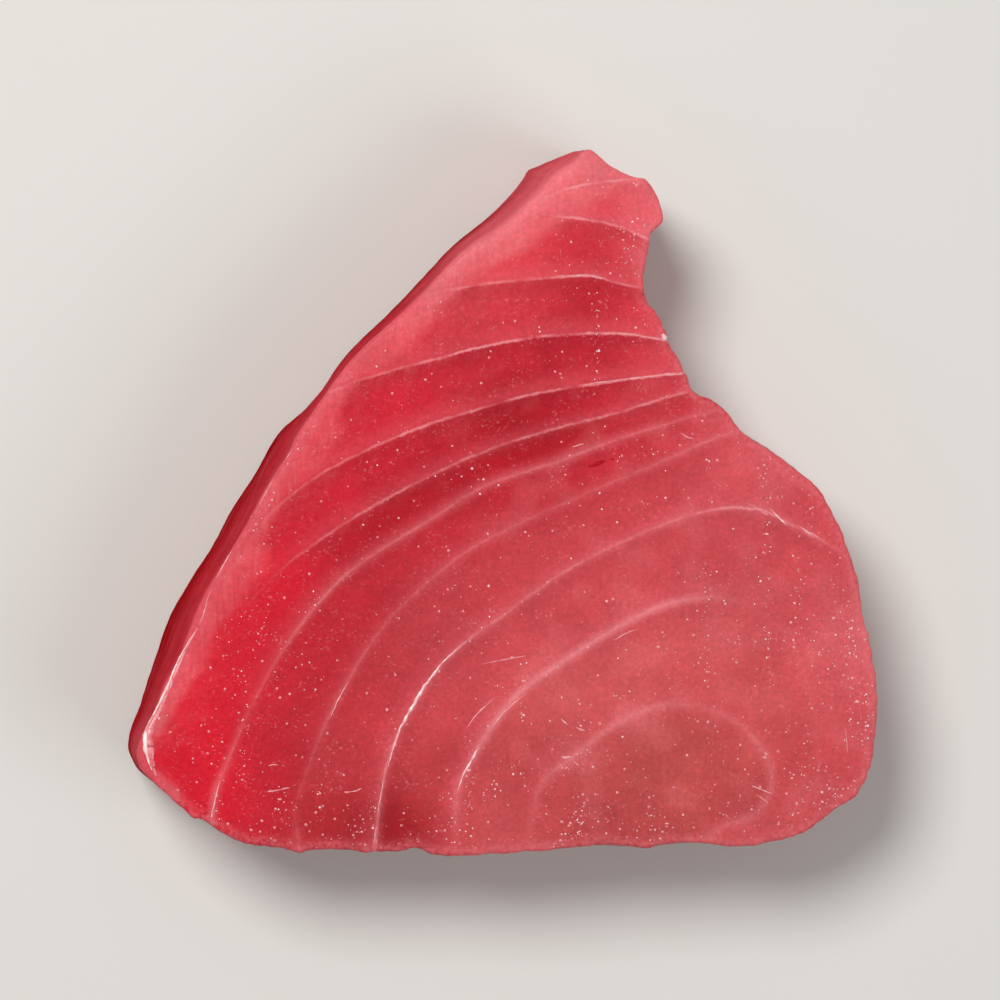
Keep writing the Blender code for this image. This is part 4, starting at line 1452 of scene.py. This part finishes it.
# ---------------------------------------------------------------------------------------------------------
# The stage

FLOOR_RADIUS = 4.0
FILL_SHARE = 0.45  # of the key light's power
ROOM_COLOUR = "#f4f4f2"
ROOM_STRENGTH = 0.25
CAMERA_ASIDE = (-0.041, 0.0105)  # how far the camera stands to the left of the middle and towards the tail
CAMERA_LENS = 145
CAMERA_SENSOR = 36
CAMERA_REACH = 20


class TUNA_OT_stage(bpy.types.Operator):
    """The pale floor, the soft light and the camera"""

    bl_idname = "tuna.stage"
    bl_label = "Stage"

    def execute(self, context):
        settings = context.scene.tuna_stage
        scene = context.scene
        low, high = CAD_BOUNDS
        centre = (low + high) / 2

        bpy.ops.mesh.primitive_circle_add(
            vertices=96, radius=FLOOR_RADIUS, fill_type="NGON", location=(0, 0, low.z)
        )
        floor = context.object
        floor.name = "floor"
        floor.data.materials.append(floor_material(settings.floor_colour))

        for name, spot, size, power, colour in (
            ("key_light", (-0.42, 0.48, 0.98), 0.5, settings.key_power, (1.0, 0.98, 0.95)),
            ("fill_light", (0.85, -0.45, 0.8), 0.8, settings.key_power * FILL_SHARE, (0.96, 0.98, 1.0)),
        ):
            data = bpy.data.lights.new(name, "AREA")
            data.shape = "DISK"
            data.size = size
            data.energy = power
            data.color = colour
            lamp = place(data, name)
            lamp.location = centre + Vector(spot)
            lamp.rotation_euler = (-Vector(spot)).to_track_quat("-Z", "Y").to_euler()

        world = bpy.data.worlds.new("soft_room")
        scene.world = world
        world.use_nodes = True
        room = world.node_tree.nodes["Background"].inputs
        room["Color"].default_value = linear(ROOM_COLOUR)
        room["Strength"].default_value = ROOM_STRENGTH
        scene.view_settings.view_transform = "Standard"

        camera = place(bpy.data.cameras.new("camera"), "camera")
        camera.data.lens = CAMERA_LENS
        camera.data.sensor_width = CAMERA_SENSOR
        camera.data.clip_end = CAMERA_REACH
        camera.location = centre + Vector((*CAMERA_ASIDE, settings.camera_height - centre.z))
        back = (camera.location - centre).normalized()
        right = Vector((0, 1, 0)).cross(back).normalized()
        camera.rotation_euler = Matrix((right, back.cross(right), back)).transposed().to_euler()
        scene.camera = camera
        return {"FINISHED"}


class TUNA_PT_steak(bpy.types.Panel):
    """Lists the steak's settings and pieces"""

    bl_idname = "TUNA_PT_steak"
    bl_label = "Raw Tuna Steak"
    bl_space_type = "VIEW_3D"
    bl_region_type = "UI"
    bl_category = "Tuna"

    def draw(self, context):
        for operator, settings in PIECES:
            box = self.layout.box()
            box.operator(operator.bl_idname)
            group = getattr(context.scene, settings)
            for name in group.bl_rna.properties.keys():
                if name not in ("name", "rna_type"):
                    box.prop(group, name)


PIECES = (
    (TUNA_OT_flesh, "tuna_flesh"),
    (TUNA_OT_strands, "tuna_detail"),
    (TUNA_OT_beads, "tuna_detail"),
    (TUNA_OT_crumbs, "tuna_detail"),
    (TUNA_OT_stage, "tuna_stage"),
)
SETTINGS = {
    "tuna_flesh": TunaFleshSettings,
    "tuna_detail": TunaDetailSettings,
    "tuna_stage": TunaStageSettings,
}
CLASSES = (*SETTINGS.values(), *[operator for operator, _ in PIECES], TUNA_PT_steak)


def register():
    for item in CLASSES:
        bpy.utils.register_class(item)
    for name, group in SETTINGS.items():
        setattr(bpy.types.Scene, name, PointerProperty(type=group))


def unregister():
    for name in SETTINGS:
        delattr(bpy.types.Scene, name)
    for item in reversed(CLASSES):
        bpy.utils.unregister_class(item)


def main():
    """Builds every piece in turn."""
    register()
    for operator, _ in PIECES:
        group, name = operator.bl_idname.split(".")
        getattr(getattr(bpy.ops, group), name)()


if __name__ == "__main__":
    main()
